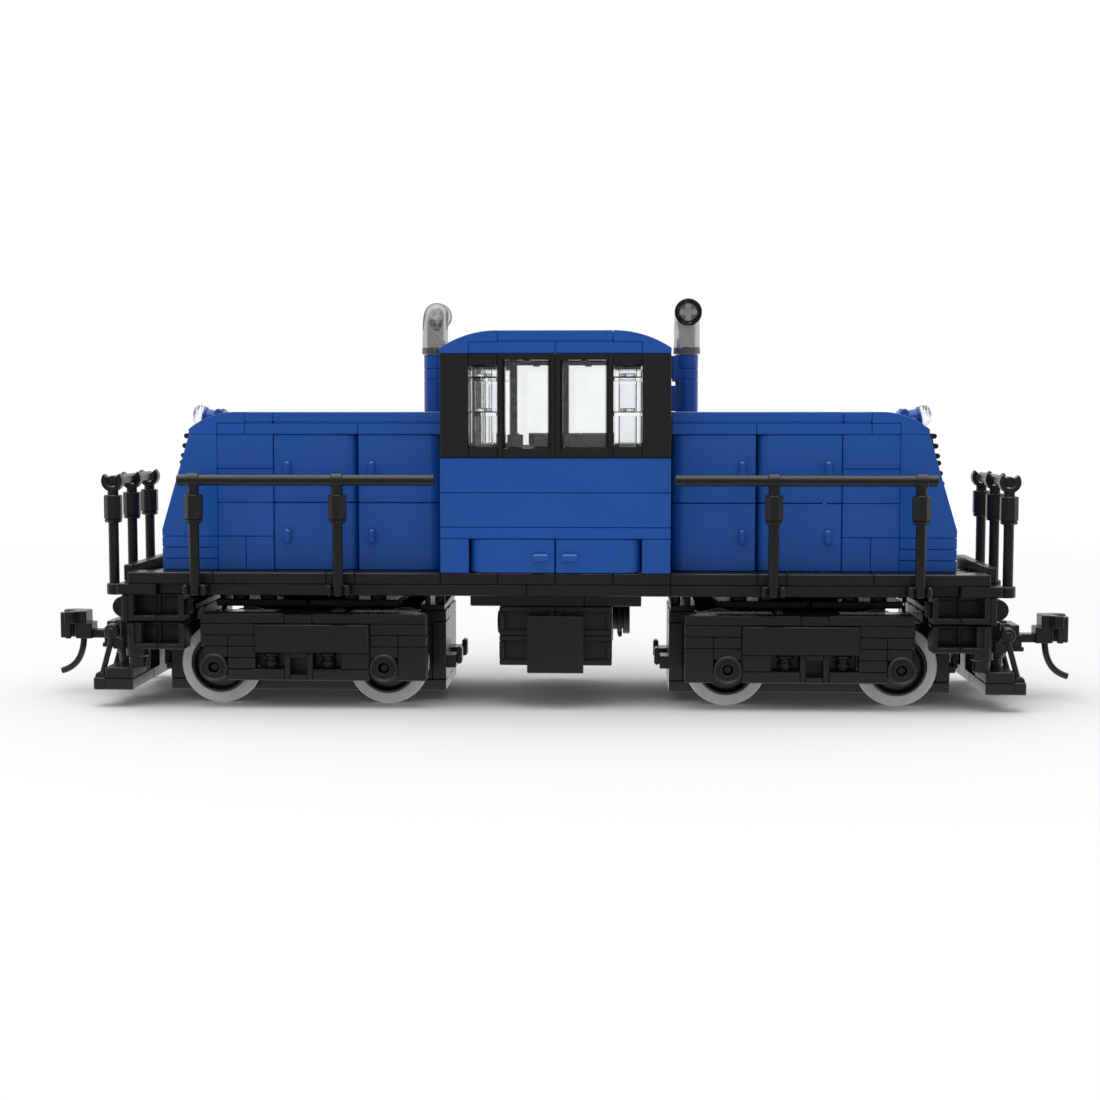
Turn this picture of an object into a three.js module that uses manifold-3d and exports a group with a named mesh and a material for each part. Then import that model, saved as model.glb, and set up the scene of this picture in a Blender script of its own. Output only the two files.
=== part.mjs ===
// A model diesel locomotive built from interlocking bricks: a centre-cab switcher on two powered bogies.
// Millimetres, +Z up. X runs along the locomotive, Y across it, and the origin is on the floor at its centre.
// "left" is -X, "right" is +X, "near" is -Y and "far" is +Y.

import * as THREE from "three";
import { mergeVertices } from "three/addons/utils/BufferGeometryUtils.js";
import Module from "manifold-3d";

const wasm = await Module();
wasm.setup();

// ---------- driving dimensions ----------

const STUD = 8; // pitch of the brick grid
const PLATE = 3.2; // height of a plate
const BRICK = 3 * PLATE;
const SNUG = 0.15; // clearance round a piece that moves
const BAR = 1.6; // radius of a round bar

const DECK_UNDER = 10 * PLATE;
const DECK_TOP = DECK_UNDER + 2 * PLATE;
const DECK_HALF_LENGTH = 15 * STUD;
const HALF_WIDTH = 4 * STUD; // deck and cab
const HOOD_HALF_WIDTH = 3 * STUD;

const CAB_HALF_LENGTH = 4 * STUD;
const CAB_WALL_TOP = DECK_TOP + 10 * PLATE;
const CAB_BAND_TOP = CAB_WALL_TOP + 3 * BRICK;
const CAB_ROOF_TOP = CAB_BAND_TOP + 2 * PLATE;
const WINDOW_SILL = CAB_WALL_TOP + 2.9;
const WINDOW_HEAD = CAB_BAND_TOP - PLATE;

const DOOR_ROW = 2 * BRICK; // height of one row of hood doors
const HOOD_SIDE_TOP = DECK_TOP + 2 * DOOR_ROW;
const HOOD_TOP = HOOD_SIDE_TOP + 2 * PLATE;
const DOOR_LENGTH = 3 * STUD;
const HINGE_INSET = STUD / 2; // hinge axis behind the end and the face of a door
const HINGE_RADIUS = HINGE_INSET - SNUG;
const PANEL_THICKNESS = 1.9;
const PIVOT_STUD = 2.4; // radius of the stud that a door turns on
const PIVOT_HOLE = 2.7; // wide enough for the stud to turn inside its flat sides
const PIVOT_HEIGHT = 1.6;

const NOSE_START = CAB_HALF_LENGTH + 2 * DOOR_LENGTH; // end of the doors
const NOSE_FOOT = NOSE_START + 4 * STUD;
const NOSE_TOP = NOSE_START + 3 * STUD;
const SLOPE_START = DECK_TOP + BRICK + 2; // height where the nose begins to slope
const CURVE_RADIUS = 28.4; // of the curved slope bricks on roof and hoods
const CURVE_LENGTH = 2 * STUD;

const RAIL_HEIGHT = DECK_TOP + 26;
const END_RAIL_HEIGHT = 63.5;
const RAIL_OFFSET = HALF_WIDTH + 4;
const RAIL_POSTS = [60, 100];
const RAIL_END = 104.5;
const END_POST_X = 127;
const END_POSTS = [-20, 0, 20];
const COLLAR_RADIUS = 2.1; // of the collars round a side rail
const CLIP_RADIUS = 3; // of the clips that hold an end rail

const BOGIE_X = 9 * STUD;
const AXLE_OFFSET = 3 * STUD;
const WHEEL_RADIUS = 11.6;
const TREAD_RADIUS = 8.2;
const WHEEL_SIDES = 28;
const AXLE_RADIUS = 1.6;
const AXLE_HOLE = 1.8;
const FRAME_INNER = 26;
const FRAME_TOP = 26.85;
const FRAME_BOTTOM = 7.65;
const MOTOR_HALF_LENGTH = 5 * STUD;
const MOTOR_HALF_WIDTH = 15.9;
const KINGPIN = 2.4;
const KINGPIN_HOLE = 2.6;

const COUPLER_PIVOT_X = 130;
const COUPLER_PIN = 1.2;

// ---------- materials ----------

const finish = (color, roughness, metalness = 0) =>
  new THREE.MeshStandardMaterial({ color, roughness, metalness });
const BLUE = finish(0x2450a0, 0.25);
const BLACK = finish(0x252524, 0.35);
const SMOKE = finish(0x6f6c69, 0.15);
const CLEAR = finish(0xeef3f6, 0.1);
const DARK_GREY = finish(0x55585a, 0.45);
const RIM_METAL = finish(0x9c9c9c, 0.35, 0.9);

// ---------- solids ----------

/** Turns a closed geometry into a solid that can be joined and cut. */
function solid(geometry) {
  const source = geometry.index ? geometry.toNonIndexed() : geometry;
  const bare = new THREE.BufferGeometry().setAttribute("position", source.getAttribute("position"));
  const merged = mergeVertices(bare, 1e-4);
  return new wasm.Manifold(
    new wasm.Mesh({
      numProp: 3,
      vertProperties: merged.attributes.position.array,
      triVerts: new Uint32Array(merged.index.array),
    }),
  );
}

const join = (...shapes) => shapes.flat().reduce((sum, shape) => sum.add(shape));
const cut = (body, ...tools) => tools.flat().reduce((rest, tool) => rest.subtract(tool), body);

/** A box between two values on each axis. */
function block([x0, x1], [y0, y1], [z0, z1]) {
  const geometry = new THREE.BoxGeometry(1, 1, 1);
  const corners = geometry.getAttribute("position");
  for (let i = 0; i < corners.count; i++) {
    const x = corners.getX(i) < 0 ? x0 : x1;
    const y = corners.getY(i) < 0 ? y0 : y1;
    const z = corners.getZ(i) < 0 ? z0 : z1;
    corners.setXYZ(i, x, y, z);
  }
  return solid(geometry);
}

/** A flat outline made solid between two values of one axis. The outline lies in YZ, XZ or XY. */
function prism(axis, outline, [low, high]) {
  const shape = outline instanceof THREE.Shape ? outline : new THREE.Shape(outline);
  const geometry = new THREE.ExtrudeGeometry(shape, { depth: 1, bevelEnabled: false, curveSegments: 8 });
  const points = geometry.getAttribute("position");
  for (let i = 0; i < points.count; i++) {
    const u = points.getX(i);
    const v = points.getY(i);
    const atStart = points.getZ(i) < 0.5;
    if (axis === "x") points.setXYZ(i, atStart ? low : high, u, v);
    if (axis === "y") points.setXYZ(i, u, atStart ? high : low, v);
    if (axis === "z") points.setXYZ(i, u, v, atStart ? low : high);
  }
  return solid(geometry);
}

const outlineOf = (pairs) => pairs.map(([u, v]) => new THREE.Vector2(u, v));

/** A regular polygon about (u, v), with a flat side at the bottom. */
function polygon(radius, [u, v], sides) {
  const corners = [];
  for (let i = 0; i < sides; i++) {
    const angle = ((i + 0.5) * 2 * Math.PI) / sides - Math.PI / 2;
    corners.push([u + radius * Math.cos(angle), v + radius * Math.sin(angle)]);
  }
  return outlineOf(corners);
}

/** A round bar along one axis, centred on the other two. */
const bar = (axis, radius, centre, span, sides = 8) => prism(axis, polygon(radius, centre, sides), span);

/** A round rod between two points. */
function rod(radius, from, to, sides = 8) {
  const start = new THREE.Vector3(...from);
  const end = new THREE.Vector3(...to);
  const along = end.clone().sub(start);
  const geometry = new THREE.CylinderGeometry(radius, radius, along.length(), sides);
  const up = new THREE.Vector3(0, 1, 0);
  geometry.applyQuaternion(new THREE.Quaternion().setFromUnitVectors(up, along.normalize()));
  const middle = start.add(end).multiplyScalar(0.5);
  geometry.translate(middle.x, middle.y, middle.z);
  return solid(geometry);
}

/** A round section swept along a curve. */
function sweep(radius, curve, steps, sides) {
  const section = new THREE.Shape(polygon(radius, [0, 0], sides));
  return solid(new THREE.ExtrudeGeometry(section, { steps, extrudePath: curve }));
}

/** The falling arc of a curved slope brick: level at `start`, one curve length long. */
function slopeArc(start, top, steps = 6) {
  const points = [];
  for (let i = 0; i <= steps; i++) {
    const run = (CURVE_LENGTH * i) / steps;
    points.push([start + run, top - CURVE_RADIUS + Math.sqrt(CURVE_RADIUS ** 2 - run ** 2)]);
  }
  return points;
}

// ---------- scene graph ----------

const locomotive = new THREE.Group();
const SIDES = { left: -1, right: 1 };
const FLANKS = { near: -1, far: 1 };

/** Adds a named piece. Pieces are drawn on the right and far side; `mirror` puts them on another. */
function piece(name, shape, material, [mirrorX, mirrorY] = [1, 1]) {
  const { vertProperties, triVerts } = shape.getMesh();
  const indexed = new THREE.BufferGeometry()
    .setAttribute("position", new THREE.BufferAttribute(new Float32Array(vertProperties), 3))
    .setIndex(new THREE.BufferAttribute(new Uint32Array(triVerts), 1));
  const geometry = indexed.toNonIndexed();
  geometry.computeVertexNormals();
  const mesh = new THREE.Mesh(geometry, material);
  mesh.name = name;
  mesh.scale.set(mirrorX, mirrorY, 1);
  locomotive.add(mesh);
}

// ---------- hinge positions ----------

const HOOD_HINGE_Y = HOOD_HALF_WIDTH - HINGE_INSET;
const HOOD_HINGES_X = [CAB_HALF_LENGTH + HINGE_INSET, CAB_HALF_LENGTH + DOOR_LENGTH + HINGE_INSET];
const CAB_HINGE = [DOOR_LENGTH - HINGE_INSET, HALF_WIDTH - HINGE_INSET];

// ---------- underframe ----------

function underframeDeck() {
  const shapes = [
    block([-DECK_HALF_LENGTH, DECK_HALF_LENGTH], [-HALF_WIDTH, HALF_WIDTH], [DECK_UNDER, DECK_TOP]),
    block([-DOOR_LENGTH, DOOR_LENGTH], [-28, 28], [DECK_UNDER - PLATE, DECK_UNDER]),
  ];
  for (const x of [-1, 1]) {
    shapes.push(bar("z", 10, [x * BOGIE_X, 0], [29.6, DECK_UNDER + 1], 16));
    shapes.push(bar("z", KINGPIN, [x * BOGIE_X, 0], [21, 30], 10));
    for (const y of [-1, 1]) {
      const studs = HOOD_HINGES_X.map((hinge) => [hinge, HOOD_HINGE_Y]).concat([CAB_HINGE]);
      for (const [u, v] of studs) {
        shapes.push(bar("z", PIVOT_STUD, [x * u, y * v], [DECK_TOP - 1, DECK_TOP + PIVOT_HEIGHT]));
      }
    }
  }
  return join(shapes);
}

const HEADSTOCK_FACE = DECK_HALF_LENGTH + PLATE;
const STEP_INNER = 104.3;

/** Two open treads, one above the other, under a corner of the deck. */
function cornerSteps(flank) {
  const outward = (depth) => [flank * (HALF_WIDTH - depth), flank * (HALF_WIDTH + 1)].sort((a, b) => a - b);
  const body = block(
    [STEP_INNER, DECK_HALF_LENGTH],
    [flank * HALF_WIDTH, flank * (HALF_WIDTH - STUD)].sort((a, b) => a - b),
    [16.6, DECK_UNDER],
  );
  const treads = [[18.2, 23.9], [26.2, DECK_UNDER - 0.4]];
  return cut(
    body,
    treads.map((span) => block([STEP_INNER + 1.6, DECK_HALF_LENGTH - 1.6], outward(6.4), span)),
  );
}

/** A footboard with its hangers and diagonal braces. */
function footboard(flank) {
  const across = (a, b) => [flank * a, flank * b].sort((p, q) => p - q);
  const shapes = [
    block([119, 127], across(8, 31.5), [5, 11.2]),
    block([126.5, 130.3], across(24, 31.5), [5, 8.6]),
    block([116.6, 120.4], across(27, 31), [11, 16]),
    block([122, 125.2], across(11, 17), [11, 17]),
    block([122, 125.2], across(9, 30), [16, 24.6]),
  ];
  for (const y of [16, 29]) {
    shapes.push(rod(0.8, [128.4, flank * y, 8], [125, flank * y, 20.5], 6));
    shapes.push(bar("y", 2.1, [125.2, 21.5], across(y - 1.4, y + 1.4)));
  }
  shapes.push(block([126.5, 129.5], across(15, 17), [5, 8.6]));
  return join(shapes);
}

/** Headstock, buffer beam, drawgear pocket, corner steps and footboards of one end. */
function endBeam() {
  const bow = new THREE.Shape();
  bow.moveTo(HEADSTOCK_FACE - 0.5, 24.5);
  bow.lineTo(HEADSTOCK_FACE, 24.5);
  bow.absellipse(HEADSTOCK_FACE, 27.75, 3.8, 3.25, -Math.PI / 2, Math.PI / 2, false, 0);
  bow.lineTo(HEADSTOCK_FACE - 0.5, 31);
  const body = join(
    block([DECK_HALF_LENGTH, HEADSTOCK_FACE], [-HALF_WIDTH, HALF_WIDTH], [23.2, DECK_TOP + 1.4]),
    prism("y", bow, [-HOOD_HALF_WIDTH, HOOD_HALF_WIDTH]),
    block([116, HEADSTOCK_FACE], [-7.5, 7.5], [13.8, DECK_UNDER]),
    block([122, 135], [-6, 6], [13.8, 21.6]),
    block([119, 122], [-9, 9], [5, 8.2]),
    [-1, 1].flatMap((flank) => [cornerSteps(flank), footboard(flank)]),
  );
  const slot = block([126, 136], [-4.8, 4.8], [15.2, 18.6]);
  return join(cut(body, slot), bar("z", COUPLER_PIN, [COUPLER_PIVOT_X, 0], [14, 21]));
}

/** Knuckle coupler: a shank on a pivot, a hooked head and the curved trip pin under it. */
function coupler() {
  const shank = join(
    bar("z", 2.6, [COUPLER_PIVOT_X, 0], [15.5, 18.3], 12),
    block([COUPLER_PIVOT_X, 140], [-2, 2], [15.5, 18.3]),
  );
  const head = prism(
    "z",
    outlineOf([
      [138.9, -3], [142.5, -3], [144, -4.6], [146.4, -5], [146.4, -3.4], [144.6, -2],
      [144.6, 1.2], [146, 1.6], [147, -0.8], [148.5, -0.6], [148.5, 3.8], [146.4, 4.8], [142, 4], [138.9, 3],
    ]),
    [15.5, 23.7],
  );
  const pin = new THREE.CubicBezierCurve3(
    new THREE.Vector3(142.2, 0, 16.5),
    new THREE.Vector3(142.4, 0, 10.5),
    new THREE.Vector3(144.4, 0, 7.2),
    new THREE.Vector3(149, 0, 5.3),
  );
  const pivotHole = bar("z", COUPLER_PIN + 0.15, [COUPLER_PIVOT_X, 0], [15, 19]);
  return join(cut(shank, pivotHole), head, sweep(0.7, pin, 7, 6));
}

// ---------- handrails ----------

/** The upright of a handrail: foot, bar, sleeve and the ring that holds the rail. */
function railPost(x, y, ringAxis, ringRadius, height) {
  const [along, across] = ringAxis === "x" ? [x, y] : [y, x];
  return join(
    bar("z", BAR, [x, y], [DECK_UNDER + 0.4, height], 6),
    bar("z", 2.6, [x, y], [height - 12, height - 4]),
    bar(ringAxis, ringRadius, [across, height], [along - 1.6, along + 1.6]),
  );
}

function sideHandrail() {
  const shapes = [bar("x", BAR, [RAIL_OFFSET, RAIL_HEIGHT], [CAB_HALF_LENGTH + 1, RAIL_END])];
  for (const x of RAIL_POSTS) {
    shapes.push(railPost(x, RAIL_OFFSET, "x", COLLAR_RADIUS, RAIL_HEIGHT));
    shapes.push(block([x - 2, x + 2], [HALF_WIDTH, RAIL_OFFSET + 1.8], [DECK_UNDER + 0.2, DECK_UNDER + 3.4]));
  }
  return join(shapes);
}

function endHandrail() {
  const shapes = [bar("y", BAR, [END_POST_X, END_RAIL_HEIGHT], [-HOOD_HALF_WIDTH, HOOD_HALF_WIDTH])];
  for (const y of END_POSTS) {
    shapes.push(railPost(END_POST_X, y, "y", CLIP_RADIUS, END_RAIL_HEIGHT));
    shapes.push(block([HEADSTOCK_FACE, END_POST_X + 1.7], [y - 2.5, y + 2.5], [31, 34.2]));
  }
  return join(shapes);
}

// ---------- cab ----------

const mirrored = (make) => [-1, 1].flatMap((x) => [-1, 1].map((y) => make(x, y)));
const span = (sign, a, b) => [sign * a, sign * b].sort((p, q) => p - q);
const CAB_ROOM = [STUD - CAB_HALF_LENGTH, CAB_HALF_LENGTH - STUD]; // inside walls one stud thick

function cabWalls() {
  const height = [DECK_TOP, CAB_WALL_TOP];
  const shell = cut(
    block([-CAB_HALF_LENGTH, CAB_HALF_LENGTH], [-HALF_WIDTH, HALF_WIDTH], height),
    block(CAB_ROOM, CAB_ROOM, [DECK_TOP - 1, CAB_WALL_TOP + 1]),
  );
  const doorway = [DECK_TOP - 1, DECK_TOP + BRICK];
  const doorways = [-1, 1].map((y) => block([-DOOR_LENGTH, DOOR_LENGTH], span(y, 23, 33), doorway));
  const pivots = mirrored((x, y) =>
    bar("z", PIVOT_HOLE, [x * CAB_HINGE[0], y * CAB_HINGE[1]], [DECK_TOP + BRICK - 1, DECK_TOP + BRICK + 2]),
  );
  return cut(shell, doorways, pivots);
}

const WINDOWS = [[1.4, 14.6], [16.9, 23.6]]; // on each side of the middle of every wall

function cabWindowFrame() {
  const height = [CAB_WALL_TOP, CAB_BAND_TOP];
  const through = [WINDOW_SILL, WINDOW_HEAD];
  const shell = cut(
    block([-CAB_HALF_LENGTH, CAB_HALF_LENGTH], [-HALF_WIDTH, HALF_WIDTH], height),
    block(CAB_ROOM, CAB_ROOM, [CAB_WALL_TOP - 1, CAB_BAND_TOP + 1]),
  );
  const reach = HALF_WIDTH + 1;
  const openings = WINDOWS.flatMap(([inner, outer]) =>
    [-1, 1].flatMap((sign) => [
      block(span(sign, inner, outer), [-reach, reach], through),
      block([-reach, reach], span(sign, inner, outer), through),
    ]),
  );
  return cut(shell, openings);
}

/** The clear window lining, a thin square sleeve inside the window band. */
function cabGlazing() {
  const outer = HOOD_HALF_WIDTH - 0.1;
  const inner = outer - 1.2;
  return cut(
    block([-outer, outer], [-outer, outer], [CAB_WALL_TOP + 0.2, CAB_BAND_TOP - 0.2]),
    block([-inner, inner], [-inner, inner], [CAB_WALL_TOP - 1, CAB_BAND_TOP + 1]),
  );
}

function cabRoof() {
  const half = slopeArc(CAB_HALF_LENGTH - CURVE_LENGTH, CAB_ROOF_TOP);
  const outline = [
    [-CAB_HALF_LENGTH, CAB_BAND_TOP],
    [CAB_HALF_LENGTH, CAB_BAND_TOP],
    ...half.slice().reverse(),
    ...half.map(([x, z]) => [-x, z]),
  ];
  return prism("y", outlineOf(outline), [-HALF_WIDTH, HALF_WIDTH]);
}

/** Driver's desk with its ledges, and a seat on each side of it. */
function cabConsole() {
  const floor = DECK_TOP;
  const shapes = [
    block([-14, 14], [-5, 5], [floor, 62]),
    block([-14, 14], [-21, 21], [66, 73.2]),
    block([-6, 6], [-4, 4], [61, 67]),
  ];
  for (const y of [-1, 1]) {
    shapes.push(block([-14, 14], span(y, 17, 21), [73, 76.8]));
  }
  return join(shapes);
}

// ---------- hoods ----------

const GRILLE_HALF_WIDTH = 2 * STUD;
const GRILLE_BOTTOM = 62;
const GRILLE_TOP = 76.4;
const GRILLE_RAKE = Math.tan((10 * Math.PI) / 180);
const grilleFace = (z) => 104.9 + (GRILLE_TOP - z) * GRILLE_RAKE;

function hoodShell() {
  const outline = outlineOf([
    [NOSE_START, DECK_TOP],
    [NOSE_FOOT, DECK_TOP],
    [NOSE_FOOT, SLOPE_START],
    [NOSE_TOP, HOOD_SIDE_TOP],
    [NOSE_START, HOOD_SIDE_TOP],
  ]);
  const recess = outlineOf([
    [grilleFace(GRILLE_BOTTOM) - 1.5, GRILLE_BOTTOM - 0.3],
    [NOSE_FOOT, GRILLE_BOTTOM - 0.3],
    [NOSE_FOOT, HOOD_SIDE_TOP + 1],
    [grilleFace(HOOD_SIDE_TOP + 1) - 1.5, HOOD_SIDE_TOP + 1],
  ]);
  const inner = HOOD_HALF_WIDTH - STUD;
  return cut(
    prism("y", outline, [-HOOD_HALF_WIDTH, HOOD_HALF_WIDTH]),
    block([NOSE_START - 1, 100], [-inner, inner], [DECK_TOP - 1, HOOD_SIDE_TOP + 1]),
    prism("y", recess, [-GRILLE_HALF_WIDTH - 0.3, GRILLE_HALF_WIDTH + 0.3]),
  );
}

function radiatorGrille() {
  const plate = outlineOf([
    [grilleFace(GRILLE_BOTTOM) - 1.2, GRILLE_BOTTOM],
    [grilleFace(GRILLE_BOTTOM), GRILLE_BOTTOM],
    [grilleFace(GRILLE_TOP), GRILLE_TOP],
    [grilleFace(GRILLE_TOP) - 1.2, GRILLE_TOP],
  ]);
  const width = [-GRILLE_HALF_WIDTH, GRILLE_HALF_WIDTH];
  const slats = [62.9, 65.8, 68.7, 70.7, 73.5, 76.3].map((z) => {
    const root = grilleFace(z) - 0.8;
    const tip = grilleFace(z) + 1.8;
    return block([root, tip], width, [z - 0.7, z + 0.7]);
  });
  return join(prism("y", plate, width), slats);
}

const LAMP_TILT = (12 * Math.PI) / 180;
const LAMP_NOTCH = { start: 97.3, floor: 78.3, halfWidth: 4.3 };

function hoodCover() {
  const start = NOSE_TOP - CURVE_LENGTH;
  const outline = [
    [CAB_HALF_LENGTH + 0.3, HOOD_SIDE_TOP],
    [NOSE_TOP, HOOD_SIDE_TOP],
    ...slopeArc(start, HOOD_TOP).reverse(),
    [CAB_HALF_LENGTH + 0.3, HOOD_TOP],
  ];
  const pivots = HOOD_HINGES_X.flatMap((x) =>
    [-1, 1].map((y) => bar("z", PIVOT_HOLE, [x, y * HOOD_HINGE_Y], [HOOD_SIDE_TOP - 1, HOOD_SIDE_TOP + 2])),
  );
  const notch = block(
    [LAMP_NOTCH.start, NOSE_TOP + 1],
    [-LAMP_NOTCH.halfWidth, LAMP_NOTCH.halfWidth],
    [LAMP_NOTCH.floor, HOOD_TOP + 1],
  );
  return cut(prism("y", outlineOf(outline), [-HOOD_HALF_WIDTH, HOOD_HALF_WIDTH]), pivots, notch);
}

/** Lamp housing and lens, tipped up a little, set in the notch at the end of the hood cover. */
function headlight() {
  const at = (distance) => [
    106.2 + distance * Math.cos(LAMP_TILT),
    0,
    81.9 + distance * Math.sin(LAMP_TILT),
  ];
  return join(
    block([LAMP_NOTCH.start + 0.3, 103.6], [-4, 4], [LAMP_NOTCH.floor + 0.3, 82.6]),
    rod(2.4, at(-5), at(0.5), 8),
    rod(2.95, at(0), at(4.1), 16),
  );
}

// ---------- exhausts ----------

const STACK = [37.6, 12];
const STACK_TOP = CAB_BAND_TOP + 1;

const exhaustPipe = () => bar("z", 3.4, STACK, [HOOD_TOP, STACK_TOP], 12);

/** A right-angle elbow: it rises from the pipe and turns to lie across the locomotive, towards +Y or -Y. */
function exhaustElbow(towards) {
  const [x, y] = STACK;
  const foot = STACK_TOP + 0.1;
  const mouthY = y + towards * 12;
  const axisHeight = foot + 12;
  const bend = 5;
  const route = new THREE.CurvePath();
  const riser = new THREE.Vector3(x, y, axisHeight - bend);
  const leg = new THREE.Vector3(x, y + towards * bend, axisHeight);
  route.add(new THREE.LineCurve3(new THREE.Vector3(x, y, foot), riser));
  route.add(new THREE.QuadraticBezierCurve3(riser, new THREE.Vector3(x, y, axisHeight), leg));
  route.add(new THREE.LineCurve3(leg, new THREE.Vector3(x, mouthY, axisHeight)));
  const mouth = bar("y", 2.4, [x, axisHeight], [mouthY - 5, mouthY + 5]);
  return cut(sweep(4, route, 10, 12), mouth);
}

// ---------- underbody ----------

/** Fuel tank: four recessed panels on each side and a plain square plate in front of them. */
function fuelTank() {
  const half = 15.8;
  const height = [11.4, DECK_UNDER - PLATE];
  const body = block([-half, half], [-28.6, 28.6], height);
  const recesses = mirrored((x, y) => [
    block(span(x, 1.6, half - 1.6), span(y, 27.2, 30), [12.8, 18.8]),
    block(span(x, 1.6, half - 1.6), span(y, 27.2, 30), [21.4, 27.2]),
  ]).flat();
  const plates = [-1, 1].map((y) => block([-7.9, 7.9], span(y, 26, 31.8), [10.4, 26.4]));
  return join(cut(body, recesses), plates);
}

/** Ribbed air compressor drum on the end of the fuel tank. */
const airCompressor = () =>
  join(
    bar("x", 3.2, [0, 24], [15.8, 17.4]),
    bar("x", 4.7, [0, 23.7], [17.2, 18.4], 12),
    bar("x", 3.6, [0, 23.9], [18.2, 19]),
    bar("x", 4.4, [0, 23.9], [18.8, 20.8], 12),
  );

// ---------- hood contents ----------

const batteryBox = () =>
  join(
    block([34, 98], [-15.7, 15.7], [DECK_TOP, 72.4]),
    block([40, 92], [-12, 12], [72, 76.2]),
  );

const controlReceiver = () =>
  join(
    block([34, 66], [-15.7, 15.7], [DECK_TOP, 60.8]),
    bar("z", 6, [50, 0], [60, 66], 12),
  );

// ---------- doors ----------

/** A door about a vertical hinge: round knuckle, thin leaf, pivot stud on top and socket below. */
function doorSolid(hinge, reach, [bottom, top], handle) {
  const [x, y] = hinge;
  const face = y + HINGE_RADIUS;
  const leaf = block(
    [Math.min(x, reach), Math.max(x, reach)],
    [face - PANEL_THICKNESS, face],
    [bottom, top],
  );
  const knuckle = bar("z", HINGE_RADIUS, hinge, [bottom, top], 12);
  const stud = bar("z", PIVOT_STUD, hinge, [top - 1, top + PIVOT_HEIGHT]);
  const socket = bar("z", PIVOT_HOLE, hinge, [bottom - 1, bottom + 1.9]);
  const [u, w] = [handle.x, handle.z];
  const grip = block(
    [u - handle.width / 2, u + handle.width / 2],
    [face - 0.5, face + 1.3],
    [w - handle.height / 2, w + handle.height / 2],
  );
  return cut(join(leaf, knuckle, stud, grip), socket);
}

function hoodDoor(column, row) {
  const hinge = [HOOD_HINGES_X[column], HOOD_HINGE_Y];
  const reach = hinge[0] - HINGE_INSET + DOOR_LENGTH - 0.2;
  const bottom = DECK_TOP + row * DOOR_ROW;
  const handle = { x: hinge[0] + 16, z: bottom + 9.6, width: 1.3, height: 4 };
  return doorSolid(hinge, reach, [bottom + SNUG, bottom + DOOR_ROW - SNUG], handle);
}

function cabDoor() {
  const handle = { x: 4, z: DECK_TOP + 4.9, width: 4, height: 1.3 };
  return doorSolid(CAB_HINGE, 0.2, [DECK_TOP + SNUG, DECK_TOP + BRICK - SNUG], handle);
}

// ---------- bogies ----------

const AXLES_X = [BOGIE_X - AXLE_OFFSET, BOGIE_X + AXLE_OFFSET];

/** Side frames with journal boxes, joined by the bolster that turns on the kingpin. */
function bogieFrame() {
  const inner = BOGIE_X - 36;
  const outer = BOGIE_X + 28;
  const shapes = [
    block([BOGIE_X - 8, BOGIE_X + 8], [-30, 30], [23.6, FRAME_TOP]),
    block([BOGIE_X - 26.5, BOGIE_X + 26.5], [-16, 16], [27.2, 29.3]),
    bar("z", 12, [BOGIE_X, 0], [FRAME_TOP - 1, 29.3], 16),
  ];
  for (const y of [-1, 1]) {
    shapes.push(block([inner, outer], span(y, FRAME_INNER, HALF_WIDTH), [15.2, FRAME_TOP]));
    shapes.push(block([inner + 16, outer - 8], span(y, FRAME_INNER, HALF_WIDTH), [FRAME_BOTTOM, 16]));
    shapes.push(block([inner, inner + 8], span(y, FRAME_INNER, HALF_WIDTH), [FRAME_BOTTOM, 16]));
    shapes.push(block([outer - 48, outer - 16], span(y, 31, HALF_WIDTH + 0.8), [15.2, 23.2]));
    for (const x of AXLES_X) {
      shapes.push(bar("y", 4, [x, WHEEL_RADIUS], span(y, FRAME_INNER, HALF_WIDTH), 12));
    }
  }
  const bearings = AXLES_X.map((x) => bar("y", AXLE_HOLE, [x, WHEEL_RADIUS], [-33, 33]));
  return cut(join(shapes), bearings, bar("z", KINGPIN_HOLE, [BOGIE_X, 0], [20, 30], 12));
}

function tractionMotor() {
  const width = [-MOTOR_HALF_WIDTH, MOTOR_HALF_WIDTH];
  const ends = [BOGIE_X - MOTOR_HALF_LENGTH, BOGIE_X + MOTOR_HALF_LENGTH];
  const body = join(
    block(ends, width, [3, 23]),
    block([ends[0], ends[0] + 12], width, [22, 28]),
    block([ends[1] - 12, ends[1]], width, [22, 28]),
    block([ends[0] - 2.6, ends[0] + 1], [-13, -5], [9, 13]),
    block([ends[0] - 2.6, ends[0] + 1], [5, 13], [9, 13]),
  );
  const axleHoles = AXLES_X.map((x) => bar("y", AXLE_HOLE, [x, WHEEL_RADIUS], [-17, 17]));
  return cut(body, axleHoles, bar("z", KINGPIN_HOLE, [BOGIE_X, 0], [20.5, 24], 12));
}

/** Two flanged wheels on one axle. The flange stands on the floor. */
function wheelset(x) {
  const centre = [x, WHEEL_RADIUS];
  const flange = WHEEL_RADIUS / Math.cos(Math.PI / WHEEL_SIDES);
  const shapes = [bar("y", AXLE_RADIUS, centre, [-31, 31])];
  for (const y of [-1, 1]) {
    shapes.push(bar("y", 3.4, centre, span(y, 16.3, 19)));
    shapes.push(bar("y", flange, centre, span(y, 18.6, 20.8), WHEEL_SIDES));
    shapes.push(bar("y", TREAD_RADIUS, centre, span(y, 20.4, 23.2), 14));
  }
  return join(shapes);
}

// ---------- assembly ----------

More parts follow.
